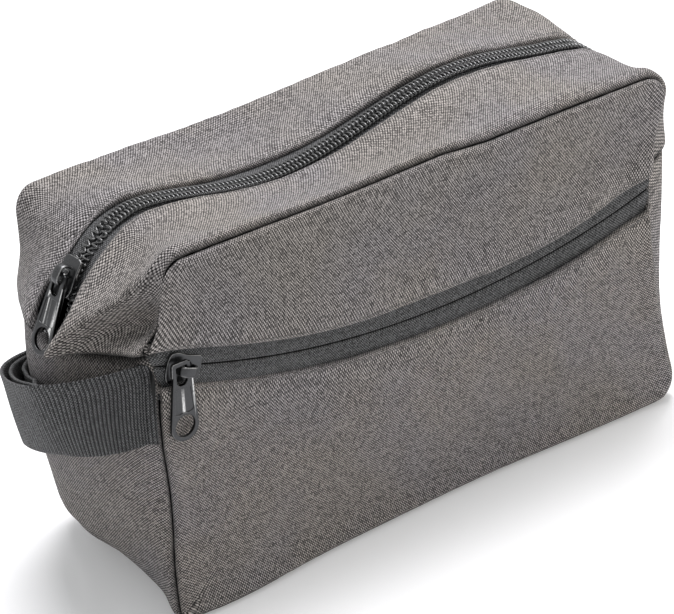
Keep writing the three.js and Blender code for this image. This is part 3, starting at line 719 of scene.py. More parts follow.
def corner_fold(s, y):
    """A rounded ridge from the left front top corner to the zip's end, which goes on as a
    low swell along the front seam; the cloth below it is drawn in to a flat facet."""
    share = np.clip((s - fold_start) / (fold_end - fold_start), 0, 1)
    off = (y + fold_inner + fold_run * share) * np.where(s < fold_end, fold_slope, 1)
    past = np.maximum(0, s - fold_end + fold_lead)
    tall = fold_low + (fold_tall - fold_low) * np.exp(-past / fold_fade)
    wide = np.where(off < 0, fold_below, fold_above)
    ridge = tall * np.exp(1 - np.sqrt(1 + (off / wide) ** 2))
    ridge = ridge * np.clip((-ridge_from - y) / ridge_fade, 0, 1)
    facet = facet_deep * np.where(off < 0, 1 - bell(off, 0, facet_wide), 0)
    facet = facet * np.exp(-np.maximum(0, s - facet_end) / facet_fade)
    facet = facet * np.clip((s - fold_start) / facet_start, 0, 1) ** 2
    faded = np.clip((y + half_depth) / front_fade, 0, 1) * np.clip(s / end_fade, 0.2, 1)
    return (ridge - facet) * faded


def lipped(s, length, crown, radius=lip_radius, slit=seam_slit, settle=lip_settle):
    """Distance to the nearer end of a strip, its places once its ends are turned under, and
    the height of their lips."""
    t = np.maximum(0, np.minimum(s, length - s))
    off, high = edge(t, flat_sweep, crown, settle, radius, slit)
    return t, s + np.where(s < length / 2, 1, -1) * off, high


def upper_cloth(s, w, side, lift=0):
    """Outer face of an upper strip at a distance s along it, and a share w of the way from
    the fold at the zip to the seam."""
    inner = hem(s, side)
    width = half_depth - inner
    w = w * width
    t_seam = np.maximum(0, width - w)
    fold_off, fold_high = edge(w, fold_sweep, hem_crown, hem_settle)
    x, z = upper_route(s)[:2]
    seam_off, seam_high = seam_edge(t_seam, closed_seam(x, z) * (side < 0))
    end_crown = np.where(s < upper_length / 2, end_crown_left, end_crown_right)
    t_end, s_moved, end_high = lipped(s, upper_length, end_crown, end_lip_radius,
                                      settle=end_settle)
    y = side * (inner + w + fold_off - seam_off)
    inside = np.clip(t_seam / gusset_margin, 0, 1) * np.clip(w / hem_margin, 0, 1)
    swell = gusset_swell * inside * ripple(s, y, gusset_swell_size, 40 + side)
    high = fold_high + seam_high + end_high + groove(w) + lift
    high = high + pucker(s, w, 31 + side) + pucker(s, t_seam, 34 + side)
    high = high + pucker(w, t_end, 37 + side) + swell
    if side < 0:
        high = high + corner_fold(s, y)
    return upper_place(s_moved, y, high)


# Two places for each half, in metres, at its still end and towards the mouth; they ride along in
# the quarters and nothing uses them.
left_start, left_end = (-0.124, 0, 0.15), (-0.05, 0, 0.15)
right_start, right_end = (0.070, 0, 0.15), (0.000, 0, 0.15)
sides = (("front", -1), ("back", 1))
quarters = [(side_name, side, half, start, end) for side_name, side in sides
            for half, start, end in (("left", left_start, left_end),
                                     ("right", right_start, right_end))]
half_stations = {
    "left": graded(upper_length / 2, 2.4, far=False),
    "right": upper_length / 2 + graded(upper_length / 2, 2.4, near=False),
}
strip_width = half_depth - main_slot
strip_rows = graded(strip_width, 2.2) / strip_width
for side_name, side, half, start, end in quarters:
    s, w = grid(half_stations[half], strip_rows)
    x, z = upper_route(s)[:2]
    t_seam = (1 - w) * strip_width + shut_cover * closed_seam(x, z) * (side < 0)
    t_end = np.minimum(s, upper_length - s)
    nodes = [f"top_{half}_end_{side_name}"] + [f"mouth_flap_{side_name}"] * (half == "right")
    piece = sheet(f"upper_{side_name}_cloth_{half}", upper_cloth(s, w, side),
                  (s, side * (w * strip_width + main_slot)), melange, *nodes,
                  crease=in_seam(t_seam, 2 * t_end - end_shade))
    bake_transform(piece)

# Lower gusset: one strip of the cloth that runs down the left end from the end seam, along
# the base and up the right end, seamed to both panels.
lower_length = route_length(end_seam, bottom_radii)
lower_end_crown, lower_end_slit, lower_shade_start = 0.2, 0.9, 1.9
lower_ripples = ((0.5, 60, 53), (0.15, 22, 54))


def lower_route(s):
    """The route of the lower gusset: down the left end, along the base, up the right end."""
    x, z, nx, nz = end_to_end(s, end_seam, bottom_radii)
    return x, end_seam - z, nx, -nz


def lower_cloth(s, y):
    """Outer face of the lower strip at a distance s along it and a depth y."""
    t_seam = np.maximum(0, half_depth - np.abs(y))
    seam_off, seam_high = edge(t_seam, seam_sweep)
    t_end, s_moved, end_high = lipped(s, lower_length, lower_end_crown, slit=lower_end_slit)
    x, z, nx, nz = lower_route(s_moved)
    uneven = np.clip(t_seam / gusset_margin, 0, 1) * ripples(s, y, lower_ripples)
    high = seam_high + end_high + pucker(s, t_seam, 51) + pucker(y, t_end, 52) + uneven
    x, z, y = x + nx * high, z + nz * high, y - np.sign(y) * seam_off
    return shaped(x, y, z + seam_rise(x, y, z))


s, y = grid(graded(lower_length, 2.8), graded(2 * half_depth, 2.6) - half_depth)
shade = in_seam(half_depth - np.abs(y), lower_length - s, s - lower_shade_start)
piece = sheet("lower_gusset_cloth", lower_cloth(s, y), (s, y), melange, "lower_gusset",
              crease=shade)
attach(piece, "bag")

# Main zip: two woven tapes under the folded cloth edges, each with a black nylon coil sewn
# on its outer face. A coil is one flattened spiral of thick filament; the turns of the two
# sides lie half a pitch apart, and below the slider the chain is open.
tape_dip, tape_width = 1.8, 18
cord_tall, cord_off, cord_wide = 0.12, 4.9, 0.4
chain_gap, coil_pitch, coil_wire, coil_lean = 0.4, 2.0, 0.54, 0.28
coil_half_width, coil_half_height, coil_middle = 1.85, 0.82, -0.25
black_tape = woven("black_tape", yarn=0.0006, dark=(0.014, 0.0145, 0.015),
                   light=(0.20, 0.202, 0.204), cloud=(1.0, 1.0, 1.0), contrast=1.1,
                   depth=0.0002, roughness=0.8, sheen=0.03)
tape = (0.8, black_tape, "zip_tape")


def unit(vectors):
    """Vectors brought to a length of one."""
    return vectors / np.linalg.norm(vectors, axis=-1, keepdims=True)


def tube_about(line, out, radius, sides):
    """Rings of points about a line: cosine and sine of a full turn, one along out and the
    other along the line's binormal."""
    aside = np.cross(unit(np.gradient(line, axis=-2)), out)
    turn = np.linspace(0, 2 * pi, sides, endpoint=False)[:, None]
    ring = np.cos(turn) * out[..., None, :] + np.sin(turn) * aside[..., None, :]
    return line[..., None, :] + radius * ring


def coil_tube(place, start, stop, side, shift, steps=14, sides=6):
    """A filament tube on a flattened helix: place(s, y, h) carries a distance along the
    chain, a sideways place and a height to the bag; the helix leans as sewn coils do."""
    turns = (stop - start) / coil_pitch
    angle = np.linspace(0, 2 * pi * turns, int(turns * steps))
    s = start + coil_pitch * angle / (2 * pi) + shift + coil_lean * np.cos(angle)
    line = place(s, side * (chain_gap + coil_half_width * (1 + np.cos(angle))),
                 coil_middle + coil_half_height * np.sin(angle))
    axis = place(s, side * (chain_gap + coil_half_width) + 0 * s, coil_middle + 0 * s)
    along, out = unit(np.gradient(line, axis=0)), line - axis
    out = unit(out - (out * along).sum(1, keepdims=True) * along)
    return tube_about(line, out, coil_wire, sides)


grain_scale, grain_relief, grain_depth = 900.0, 0.2, 0.0001


def plain_material(name, colour, roughness, coat=0.0):
    """A shader with fine grain on Object coordinates in its colour, gloss and relief."""
    made = bpy.data.materials.new(name)
    tree = bare_tree(made)
    grain = noise(tree, node(tree, "TexCoord").outputs["Object"], grain_scale, 4.0)
    dark, light = (tuple(c * f for c in colour) + (1,) for f in (0.8, 1.25))
    gloss = ranged(tree, grain, 0.3, 0.7, roughness * 0.75, roughness * 1.3)
    bump = node(tree, "Bump", {"Strength": grain_relief, "Distance": grain_depth,
                               "Height": grain})
    shader = node(tree, "BsdfPrincipled", {
        "Base Color": mixed(tree, grain, dark, light), "Roughness": gloss,
        "Coat Weight": coat, "Normal": bump.outputs[0]})
    node(tree, "OutputMaterial", (shader.outputs[0],))
    return made


black_nylon = plain_material("black_nylon", (0.028, 0.0285, 0.0285), roughness=0.2, coat=0.6)


def main_chain(s, y, h):
    """The main zip's place: the gusset's route, parted below the slider."""
    return upper_place(s, y + np.sign(y) * parting(s), h)


for side_name, side, half, start, end in quarters:
    first, last = half_stations[half][[0, -1]]
    across = np.append(np.linspace(0, 9, 19), [11, 14, 17, tape_width])
    s, w = grid(np.linspace(first, last, 110), across)
    relief = cord_tall * bell(w, cord_off, cord_wide) - tape_dip
    piece = sheet(f"main_tape_{side_name}_{half}", main_chain(s, side * (chain_gap + w), relief),
                  (s, w), tape, f"main_zip_tape_{side_name}")
    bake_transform(piece)
    tube = coil_tube(main_chain, first, last, side, 0 if side < 0 else coil_pitch / 2)
    piece = surface(f"main_coil_{side_name}_{half}", tube, ring=True)
    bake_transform(piece)
    dress(piece, black_nylon, "zip_coil", f"main_zip_coil_{side_name}")

# Pocket zip: the same kind of chain, turned over, so that the tapes' backs face out with a
# slit between them and the coils lie behind. Stitches pull two rows of dimples beside it.
pocket_tape_width, pocket_gap, pocket_coil_dip = 14, 0.2, 4.1
ridge_tall, ridge_middle, ridge_wide, inner_edge = 0.5, 2.4, 2.2, 0.3
dimple_pitch, dimple_deep, dimple_rows, dimple_wide = 2.0, 0.42, (1.4, 3.6), 0.4
inside_seam, pocket_coil_inset = half_length - 0.2, 7


def pocket_place(x, off, depth):
    """A point beside the pocket zip's middle line: off along the face, depth into the bag."""
    return shaped(x, depth - half_depth, pocket_height(x) + off)


def pocket_chain(s, y, h):
    """The pocket chain's place: along the bag, up the face and into it."""
    return pocket_place(s - half_length, y, pocket_coil_dip - h)


for name, side in (("upper", 1), ("lower", -1)):
    across = np.append(np.linspace(0, 7, 29), [8, 9.5, 11, 12.5, pocket_tape_width - pocket_gap])
    x, w = grid(np.linspace(-inside_seam, inside_seam, 760), across)
    ridge = np.exp(-((w - ridge_middle) / ridge_wide) ** 4) - bell(w, 0, inner_edge)
    rows = sum(bell(w, row, dimple_wide) for row in dimple_rows)
    dents = dimple_deep * rows * (0.5 + 0.5 * np.cos(2 * pi * x / dimple_pitch))
    points = pocket_place(x, side * (pocket_gap + w), tape_dip - ridge_tall * ridge + dents)
    piece = sheet(f"pocket_tape_{name}", points, (x, w), tape, f"pocket_zip_tape_{name}")
    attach(piece, "bag")
    tube = coil_tube(pocket_chain, pocket_coil_inset, 2 * half_length - pocket_coil_inset, side,
                     (1 + side) / 2, 10, 5)
    piece = surface(f"pocket_coil_{name}", tube, ring=True)
    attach(piece, "bag")
    dress(piece, black_nylon, "zip_coil", f"pocket_zip_coil_{name}")

# Topstitching: rows of grey polyester thread beside both zips, each stitch a short thread
# that rises from the cloth and dips back into it.
stitch_pitch, stitch_share, thread_radius = 3.0, 0.78, 0.2
stitch_rise, stitch_sunk, stitch_rings = 0.28, 0.05, 6
thread_taper = np.array([0.3, 0.9, 1, 1, 0.9, 0.3])
thread = plain_material("grey_thread", (0.17, 0.165, 0.16), roughness=0.7)


def joined(name, meshes):
    """One mesh out of closed ones in millimetres: doubles merged, faces outwards, smooth."""
    tool = bmesh.new()
    for mesh in meshes:
        tool.from_mesh(mesh)
        bpy.data.meshes.remove(mesh)
    bmesh.ops.remove_doubles(tool, verts=tool.verts, dist=1e-4)
    bmesh.ops.recalc_face_normals(tool, faces=tool.faces)
    made = bpy.data.meshes.new(name)
    tool.to_mesh(made)
    tool.free()
    made.polygons.foreach_set("use_smooth", [True] * len(made.polygons))
    return made


def stitches(name, place, start, stop):
    """A row of stitches: place(run, lift) is the cloth at a distance along the row. Each is
    a short tapered tube on a half wave."""
    count, share = int((stop - start) / stitch_pitch), np.linspace(0, 1, stitch_rings)
    run = start + stitch_pitch * (np.arange(count)[:, None] + stitch_share * share)
    rise = (stitch_rise * np.sin(pi * share) + 0 * run).ravel() - stitch_sunk
    line, raised = (place(run.ravel(), rise + up).reshape(count, stitch_rings, 3) for up in (0, 1))
    radius = thread_radius * thread_taper[:, None, None]
    tube = tube_about(line, unit(raised - line), radius, stitch_rings)
    faces, spots = grid_faces(count * stitch_rings, stitch_rings, True)
    faces = faces[spots[:, 0, 0] % stitch_rings != stitch_rings - 1]
    rings = np.arange(count * stitch_rings ** 2).reshape(count, stitch_rings, stitch_rings)
    loose = bpy.data.meshes.new("loose")
    loose.from_pydata(tube.reshape(-1, 3).tolist(), [],
                      faces.tolist() + rings[:, 0].tolist() + rings[:, -1].tolist())
    mesh = joined(name, [loose])
    mesh.transform(Matrix.Scale(1 / 1000, 4))
    mesh.materials.append(thread)
    piece = placed(name, mesh)
    return piece


for name, above, side in (("upper", True, 1), ("lower", False, -1)):
    def beside_pocket(run, lift):
        """The front cloth at the stitch line beside the pocket zip."""
        x = run - half_length
        return front_face(x, pocket_height(x) + side * (pocket_slot + stitch_line), above, lift)

    piece = stitches(f"pocket_stitches_{name}", beside_pocket, 5, 2 * half_length - 5)
    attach(piece, "bag")

for side_name, side, half, start, end in quarters:
    def beside_main(run, lift):
        """The upper strip at the stitch line beside the main zip."""
        return upper_cloth(run, stitch_line / (half_depth - hem(run, side)), side, lift)

    first, last = half_stations[half][[0, -1]]
    piece = stitches(f"main_stitches_{side_name}_{half}", beside_main,
                     max(4, first + 0.3), min(upper_length - 4, last))
    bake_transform(piece)

# Handle: black webbing with ribs across it, doubled and folded back on itself, caught in
# both upright seams of the left end. It runs straight from the front seam to a crease, tips
# outwards there and curls back to the rear seam.
handle_width, handle_wall, handle_reach, handle_fall = 35, 1.5, 24.0, 32
handle_seat, handle_front, handle_length = 45.5, 97, 112
rib_pitch, rib_tall, rib_deep_shade = 1.9, 0.6, 1.35
crease_share, crease_fade, into_seam = 0.44, 0.05, 0.04
tip_shares = ([-1, 0, 0.15, 0.30, crease_share, 0.7, 0.85, 1, 2],
              [0, 0, 0.1, 0.5, 1, 0.6, 0.5, 0, 0])
tip_out, handle_sag, selvedge_points = 5.5, 1.2, 24
front_tuck, back_tuck, seam_tuck, seam_clear = 1.5, 0.8, 1.0, 0.4


def handle_place(share, up, out):
    """The strap's place: half an oval out from the end, falling towards the back, tipped
    about its middle line; up is across its width and out is away from its middle face."""
    turn = pi * np.clip(share, 0, 1)
    travelled = (1 - np.cos(turn)) / 2
    hidden = np.clip(np.maximum(-share, share - 1) / into_seam, 0, 1)
    to_side = np.where(share > 0.5, 1, -1)
    z = handle_front + up - handle_fall * travelled
    front_x, back_x, seam_x = (
        shaped(-half_length, y, height)[..., 0] - tuck_out for y, height, tuck_out in (
            (handle_wall - handle_seat, handle_front + up, front_tuck),
            (handle_seat - handle_wall, handle_front - handle_fall + up, back_tuck),
            (to_side * (half_depth - seam_clear), z, seam_tuck)))
    nx, ny = handle_reach * np.cos(turn), -handle_seat * np.sin(turn)
    size = np.hypot(nx, ny)
    tip = tip_out * np.interp(share, *tip_shares) * up / handle_width * 2
    x = front_x + (back_x - front_x) * travelled - handle_reach * np.sin(turn) - tip
    x = x + (seam_x - x) * hidden + ny / size * out
    y = -np.cos(turn) * handle_seat - nx / size * out
    y = y + to_side * (half_depth - 0.5 - handle_seat) * hidden
    return np.stack([x, y, z - handle_sag * np.sin(turn) ** 2], -1)


def band(name, shares, inward, narrow, tall):
    """A layer of the webbing as a closed tube: ribs along its length, rounded selvedges."""
    half_w, half_t, count = handle_width / 2 - narrow, handle_wall / 2, selvedge_points
    across = np.linspace(-1, 1, count) * (half_w - 0.5)
    ring_up = np.concatenate([across, [half_w, half_w], across[::-1], [-half_w, -half_w]])
    ring_out = half_t * np.repeat([1, 0.4, -0.4, -1, -0.4, 0.4], [count, 1, 1, count, 1, 1])
    p, up = grid(shares, ring_up)
    out = np.broadcast_to(ring_out, p.shape)
    ribs = tall * (np.abs(np.sin(pi * p * handle_length / rib_pitch)) ** 0.7 - 1)
    ribs = ribs * np.interp(p, [crease_share, crease_share + crease_fade], [1, 0.35])
    out = out + np.sign(out) * ribs - np.interp(p, *inward)
    flat = np.stack([p * handle_length, up], -1)
    flat = np.concatenate([flat, flat[:, :1]], 1)
    return surface(name, handle_place(p, up, out), flat, ring=True)


def rib_shade(tree):
    """Shade between the ribs, a sine along the strap that is weak behind its crease."""
    run = node(tree, "SeparateXYZ", (node(tree, "UVMap", uv_map="flat").outputs[0],)).outputs[0]
    wave = maths(tree, "ABSOLUTE", maths(tree, "SINE", maths(tree, "MULTIPLY", run,
                                                             1000 * pi / rib_pitch)))
    crease = crease_share * handle_length / 1000
    fade = ranged(tree, run, crease, crease + 0.004, 1.0, 0.25)
    between = maths(tree, "SUBTRACT", 1.0, maths(tree, "MULTIPLY", wave, rib_deep_shade))
    return maths(tree, "SUBTRACT", 1.0, maths(tree, "MULTIPLY", fade, between))


webbing = woven("black_webbing", yarn=0.0006, dark=(0.012, 0.0125, 0.013),
                light=(0.19, 0.192, 0.194), cloud=(1.0, 1.0, 1.0), contrast=1.2,
                depth=0.00022, roughness=0.7, sheen=0.05, ribs=rib_shade)
layers = (
    ("handle_webbing", np.linspace(-into_seam, 1 + into_seam, 620), ([0, 1], [0, 0]), 0, rib_tall),
    ("handle_webbing_lining", np.linspace(0.40, 1, 300),
     ([0.4, 0.5, 0.8, 1], [1.9, 3.6, 3.4, 2.0]), 0.6, 0.2),
    ("handle_webbing_end", np.linspace(0.47, 0.97, 220),
     ([0.47, 0.55, 0.72, 0.85, 0.97], [3.8, 8.6, 9.4, 7.4, 4.0]), 1.2, 0.2),
)
for name, shares, inward, narrow, tall in layers:
    piece = band(name, shares, inward, narrow, tall)
    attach(piece, "bag")
    dress(piece, webbing, "webbing", "handle_strap")

# Linings: dark coated lining inside the main compartment and the pocket, sewn into the same
# seams as the outer cloth, and the tape bound over the seam allowances.
lining_cloth = woven("dark_lining", yarn=0.0004, dark=(0.018, 0.019, 0.020),
                     light=(0.040, 0.041, 0.043), cloud=(0.9, 0.9, 0.9), contrast=0.8,
                     depth=0.0001, roughness=0.6, sheen=0.05)
lining = (0.5, lining_cloth, "lining")
lining_inset, inner_inset, lining_margin, lining_wave = 3, 4.3, 20, 50
base_sag, base_swell, base_swell_size = 0.25, 0.2, 40
inner_top_radii, inner_bottom_radii = (16 - inner_inset,) * 2, (13 - inner_inset,) * 2
pocket_space, lining_front_depth, back_depth = 9, 10, 3
lining_edges = {"front": 46, "back": 47.2}


def inner_panel(name, y, swell, seed, cad_node, away_from):
    """An upright lining sheet inside the outline, at a depth y, with soft waves. Its face
    looks away from the depth away_from."""
    x, z = grid(np.linspace(inner_inset - half_length, half_length - inner_inset, 70),
                np.linspace(inner_inset, bag_height - inner_inset, 44))
    x, z = rounded_outline(x, z, inner_inset, inner_top_radii, inner_bottom_radii)
    t = np.minimum.reduce([half_length - np.abs(x), z, bag_height - z]) - inner_inset
    uneven = 0.5 + 0.5 * ripple(x, z, lining_wave, seed) / 2
    wave = swell * np.clip(t / lining_margin, 0, 1) * uneven
    piece = sheet(name, shaped(x, y - np.sign(y) * wave, z), (x, z), lining, cad_node,
                  middle=(0, away_from, 75))
    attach(piece, "bag")


inner_panel("pocket_back_lining", -half_depth + pocket_space, 0.2, 61, "pocket_back", 300)
inner_panel("front_lining_sheet", -half_depth + lining_front_depth, 0.5, 62, "front_lining", -300)
inner_panel("back_lining_sheet", half_depth - back_depth, 0.8, 63, "back_lining", 300)

s, y = grid(np.linspace(0, lower_length, 150),
            np.linspace(-lining_edges["front"], lining_edges["back"], 26))
x, z, nx, nz = lower_route(s)
high = -lining_inset - base_sag - base_swell * ripple(s, y, base_swell_size, 64)
x, z = x + nx * high, z + nz * high
piece = sheet("gusset_lining_sheet", shaped(x, y, z + seam_rise(x, y, z)), (s, y), lining,
              "gusset_lining")
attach(piece, "bag")

for side_name, side, half, start, end in quarters:
    s, w = grid(half_stations[half][::2], np.linspace(0, 1, 12))
    inner = main_slot + main_opening + parting(s)
    outer = lining_edges[side_name]
    y = side * (inner + w * (outer - inner))
    drawn = np.minimum(0, corner_fold(s, y)) * (side < 0)
    points = upper_place(s, y, drawn - lining_inset - 0.2)
    nodes = [f"top_{half}_end_{side_name}_lining"]
    nodes += [f"mouth_flap_{side_name}_lining"] * (half == "right")
    piece = sheet(f"upper_{side_name}_lining_{half}", points, (s, w * (outer - main_slot)),
                  lining, *nodes)
    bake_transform(piece)

binding_tape = woven("black_binding", yarn=0.0005, dark=(0.02, 0.021, 0.022),
                     light=(0.06, 0.062, 0.064), cloud=(0.9, 0.9, 0.9), contrast=1.0,
                     depth=0.00016, roughness=0.8, sheen=0.05)
binding_tall, binding_deep, binding_wave, binding_girth = 3.5, 0.9, 0.25, 2.2
binding_wave_run, binding_front_depth, binding_back_depth = 3.1, 11, 4


def squarer(value, power):
    """A sine or cosine raised to a power with its sign kept, for a flattened oval."""
    return np.sign(value) * np.abs(value) ** power


whole = upper_length + lower_length
s = np.linspace(0, whole, 340, endpoint=False)
turn = np.linspace(0, 2 * pi, 14, endpoint=False)
over = upper_route(np.minimum(s, upper_length))
under = lower_route(lower_length - np.maximum(0, s - upper_length))
x, z, nx, nz = (np.where(s < upper_length, a, b)[:, None] for a, b in zip(over, under))
tall = inner_inset + binding_tall - binding_tall * squarer(np.cos(turn), 0.5)
flat = np.stack(np.broadcast_arrays(np.append(s, whole)[:, None],
                                    np.append(turn, 2 * pi)[None] * binding_girth), -1)
for side_name, y_face, into in (("front", -half_depth + binding_front_depth, 1),
                                ("back", half_depth - binding_back_depth, -1)):
    deep = binding_deep - binding_deep * squarer(np.sin(turn), 0.7)
    deep = deep + binding_wave * np.sin(s / binding_wave_run)[:, None]
    points = shaped(x - nx * tall, y_face + into * deep, z - nz * tall)
    points = np.concatenate([points, points[:1]], 0)
    piece = surface(f"seam_binding_{side_name}_tape", points, flat, ring=True)
    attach(piece, "bag")
    dress(piece, binding_tape, "binding", f"seam_binding_{side_name}")

# Sliders and pull tabs: die-cast zinc, plated dark grey, with painted highlights on sharp edges.
# Each slider has two plates joined by a post, flanges that hold the chain, a bail and a lock
# spring, and the tab's bar is caught under the bail.
plating_dark, plating_light = (0.045, 0.046, 0.048, 1), (0.08, 0.081, 0.083, 1)
edge_glint_tint = (0.75, 0.75, 0.74, 1)
gunmetal = bpy.data.materials.new("gunmetal")
tree = bare_tree(gunmetal)
bent = node(tree, "NewGeometry").outputs["Pointiness"]
grain = noise(tree, node(tree, "TexCoord").outputs["Object"], 1400.0, 5.0)
# Painted highlight: sharply bent edges (Pointiness) take a bright colour that stands in for their
# glints.
edge_glint_share = maths(tree, "MULTIPLY", ranged(tree, bent, 0.53, 0.585, 0.0, 1.0),
               ranged(tree, grain, 0.35, 0.6, 0.45, 1.0))
tint = mixed(tree, edge_glint_share, mixed(tree, grain, plating_dark, plating_light), edge_glint_tint)
relief = node(tree, "Bump", {"Strength": 0.25, "Distance": 0.00006, "Height": grain})
shader = node(tree, "BsdfPrincipled", {
    "Base Color": tint, "Metallic": 1.0, "Roughness": ranged(tree, grain, 0.3, 0.7, 0.26, 0.42),
    "Normal": relief.outputs[0]})
node(tree, "OutputMaterial", (shader.outputs[0],))


def arc(x, y, radius, start, stop, steps):
    """Points of a circle's arc, angles in degrees."""
    angle = np.radians(np.linspace(start, stop, steps))
    return [(x + radius * c, y + radius * s) for c, s in zip(np.cos(angle), np.sin(angle))]


def rounded(points, radius, steps=4):
    """A polygon with each corner cut by an arc, a curve from tangent to tangent."""
    made, points = [], [np.array(p, float) for p in points]
    for before, here, after in zip([points[-1]] + points[:-1], points, points[1:] + points[:1]):
        a, b = before - here, after - here
        reach = min(radius, np.linalg.norm(a) * 0.45, np.linalg.norm(b) * 0.45)
        for t in np.linspace(0, 1, steps + 1):
            made.append(tuple(here + unit(a) * reach * (1 - t) ** 2 + unit(b) * reach * t ** 2))
    return made


def plate(outlines, low, high, round_edge):
    """A flat plate between two heights, from its outline and its holes, edges rounded."""
    flat = bpy.data.curves.new("plate", "CURVE")
    flat.dimensions, flat.fill_mode = "2D", "BOTH"
    flat.bevel_depth, flat.bevel_resolution, flat.offset = round_edge, 2, -round_edge
    flat.extrude = (high - low) / 2 - round_edge
    for outline in outlines:
        line = flat.splines.new("POLY")
        line.points.add(len(outline) - 1)
        line.points.foreach_set("co", np.array([(x, y, 0, 1) for x, y in outline]).ravel())
        line.use_cyclic_u = True
    holder = placed("plate", flat)
    bpy.context.view_layer.update()
    mesh = bpy.data.meshes.new_from_object(holder.evaluated_get(
        bpy.context.evaluated_depsgraph_get()))
    bpy.data.objects.remove(holder)
    bpy.data.curves.remove(flat)
    mesh.transform(Matrix.Translation((0, 0, (low + high) / 2)))
    return mesh


def tube_mesh(points):
    """A closed tube in millimetres from a grid of rings."""
    piece = surface("tube", points * 1000, ring=True)
    mesh = piece.data
    bpy.data.objects.remove(piece)
    return mesh


def cast(name, meshes, frame_matrix):
    """One piece out of closed meshes in a slider's own frame, put in place."""
    made = joined(name, meshes)
    made.transform(frame_matrix @ Matrix.Scale(1 / 1000, 4))
    made.set_sharp_from_angle(angle=math.radians(40))
    return placed(name, made)


def axes(place, x_axis, z_axis):
    """A frame at a place, in millimetres, from the directions of its X and Z. A slider's X
    points towards the closed chain and its Z away from the bag, as in the CAD."""
    x_axis, z_axis = Vector(x_axis).normalized(), Vector(z_axis).normalized()
    matrix = Matrix((x_axis, z_axis.cross(x_axis), z_axis)).transposed().to_4x4()
    return Matrix.Translation(Vector(place) / 1000) @ matrix


plate_wall = 1.1


def both_ways(half):
    """An outline given above the middle line, and its mirror image below in return."""
    return half + [(x, -y) for x, y in half[::-1]]


def slider_meshes(top, bottom):
    """Slider body: shield-shaped plates over and under the chain, side flanges, a post."""
    shield = rounded(both_ways([(8.25, 3.6), (7.4, 5.0), (0.5, 5.3), (-4.2, 6.5), (-7.2, 5.8),
                                (-8.25, 2.6)]), 1.8)
    meshes = [plate([shield], top, top + plate_wall, 0.3),
              plate([shield], bottom - plate_wall, bottom, 0.3)]
    for side in (1, -1):
        wall = rounded([(7.6, 4.0 * side), (7.6, 5.0 * side), (0.5, 5.35 * side),
                        (-3.2, 6.2 * side), (-3.2, 5.2 * side), (0.5, 4.35 * side)], 0.4)
        meshes.append(plate([wall[::side]], top - 0.75, top + 0.6, 0.2))
        meshes.append(plate([wall[::side]], bottom - 0.6, bottom + 0.75, 0.2))
    post = rounded([(-7.1, -0.4), (-4.1, -0.4), (-4.1, 0.4), (-7.1, 0.4)], 0.3)
    return meshes + [plate([post], bottom - 0.5, top + 0.5, 0.1)]


def bail_mesh(foot):
    """Bail: a band with a rounded back, bent to an arch along the slider; wide over the
    tab's bar and narrower at its feet."""
    length, tall, bend, thick = 8.8, 5.2, 2.8, 1.2
    half, top = length / 2 - thick / 2, tall - thick / 2
    side_z = np.linspace(-0.3, top - bend, 6)
    left = [(-half, z) for z in side_z] + arc(bend - half, top - bend, bend, 180, 90, 9)[1:]
    line = np.array(left + [(-x, z) for x, z in left[::-1]])
    along = unit(np.gradient(line, axis=0))
    turn = np.linspace(0, 2 * pi, 20, endpoint=False)
    wide = (1.75 + 0.35 * np.clip(line[:, 1] / top, 0, 1))[:, None]
    aside = wide * squarer(np.cos(turn), 0.6)
    out = thick / 2 * squarer(np.sin(turn), 0.8)
    return tube_mesh(np.stack([
        line[:, :1] - along[:, 1:] * out, aside, line[:, 1:] + along[:, :1] * out + foot], -1))


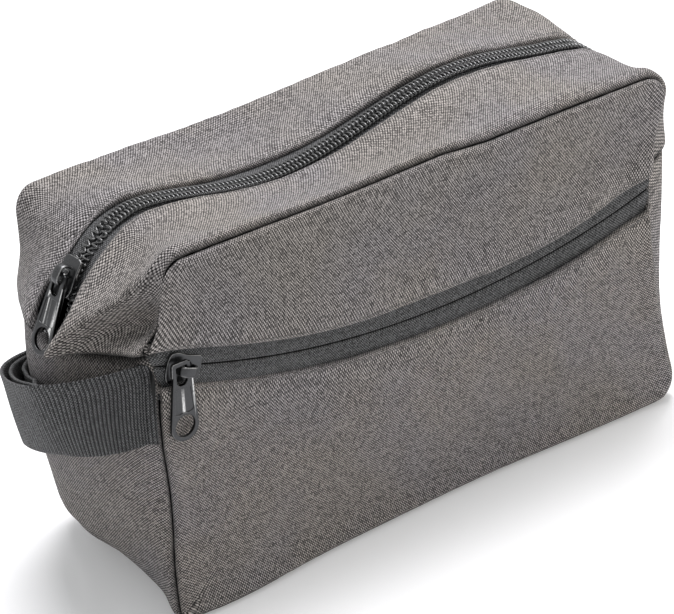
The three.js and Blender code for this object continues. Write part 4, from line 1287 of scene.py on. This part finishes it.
def tab_meshes(reach, off):
    """Pull tab: a tapered plate with a window for the bail and a round hole, its face sunk
    between raised rims; its bar, by the window, is thicker and round. It is moved by reach
    along itself and off its middle plane, to where its bar is caught."""
    hole_x, end_radius, hole_radius = -21.5, 6.5, 4.6
    outer = rounded([(6, -3.6), (6, 3.6), (5.2, 4.3), (0, 4.55)], 0.8) \
        + arc(hole_x, 0, end_radius, 97, 263, 26) + rounded([(0, -4.55), (5.2, -4.3)], 0.1)
    window = rounded([(4.2, -2.5), (4.2, 2.5), (-2.6, 2.5), (-4, 1.2), (-4, -1.2),
                      (-2.6, -2.5)], 0.4)
    ring = arc(hole_x, 0, hole_radius, 360, 12, 30)
    panel = rounded([(-5.4, -3.6), (-5.4, 3.6), (-15.4, 4.5), (-16.1, 2.2), (-15.6, 0),
                     (-16.1, -2.2), (-15.4, -4.5)], 0.7)
    meshes = [plate([outer, window, ring], -0.45, 0.45, 0.15),
              plate([outer, window, ring, panel], -0.8, 0.8, 0.28)]
    for mesh in meshes:
        mesh.transform(Matrix.Translation((reach, 0, off)))
    return meshes


def spring_mesh(foot):
    """Lock spring: a leaf on the top plate that rises in the middle to the tab's bar."""
    x = np.linspace(-2.5, 2.5, 16)
    rise = 0.25 + 0.5 * bell(x, 0, 1.1)
    turn = np.linspace(0, 2 * pi, 12, endpoint=False)
    y, z = 1.2 * squarer(np.cos(turn), 0.4), 0.25 * squarer(np.sin(turn), 0.4)
    return tube_mesh(np.stack(
        np.broadcast_arrays(x[:, None], y[None], rise[:, None] + z[None] + foot), -1))


def tilted(place, degrees):
    """A frame in the middle plane of the bag, its X tilted up by an angle."""
    along, up = math.cos(math.radians(degrees)), math.sin(math.radians(degrees))
    return axes(place, (along, 0, up), (-up, 0, along))


main_slope, main_tilt, pocket_turn = 54.551, 12, math.radians(-18.03)
main_frame = tilted((-138.270, 0, 134.068), main_slope)
main_tab_frame = tilted((-142.995, 0, 137.432), main_slope + main_tilt)
pocket_frame = axes((-122, -49, 107.625), (math.cos(pocket_turn), 0, math.sin(pocket_turn)),
                    (0, -1, 0))
pocket_tab_frame = axes((-125.613, -51.7, 108.802), (0, 0, 1), (0, -1, 0))
sliders = (
    ("main", main_frame, main_tab_frame, 1.3, -3.4, -5.0, -0.6),
    ("pocket", pocket_frame, pocket_tab_frame, -1.4, -5.8, -1.9, 0),
)
for name, slider_frame, tab_frame, top, bottom, reach, off in sliders:
    foot = top + plate_wall + 0.3
    parts = (("body", slider_meshes(top, bottom)), ("bail", [bail_mesh(foot)]),
             ("lock_spring", [spring_mesh(foot)]))
    for part, meshes in parts:
        piece = cast(f"{name}_slider_{part}_metal", meshes, slider_frame)
        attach(piece, f"{name}_slider")
        dress(piece, gunmetal, "slider_metal", f"{name}_slider_{part}")
    piece = cast(f"{name}_pull_tab_metal", tab_meshes(reach, off), tab_frame)
    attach(piece, f"{name}_pull")
    dress(piece, gunmetal, "slider_metal", f"{name}_pull_tab")
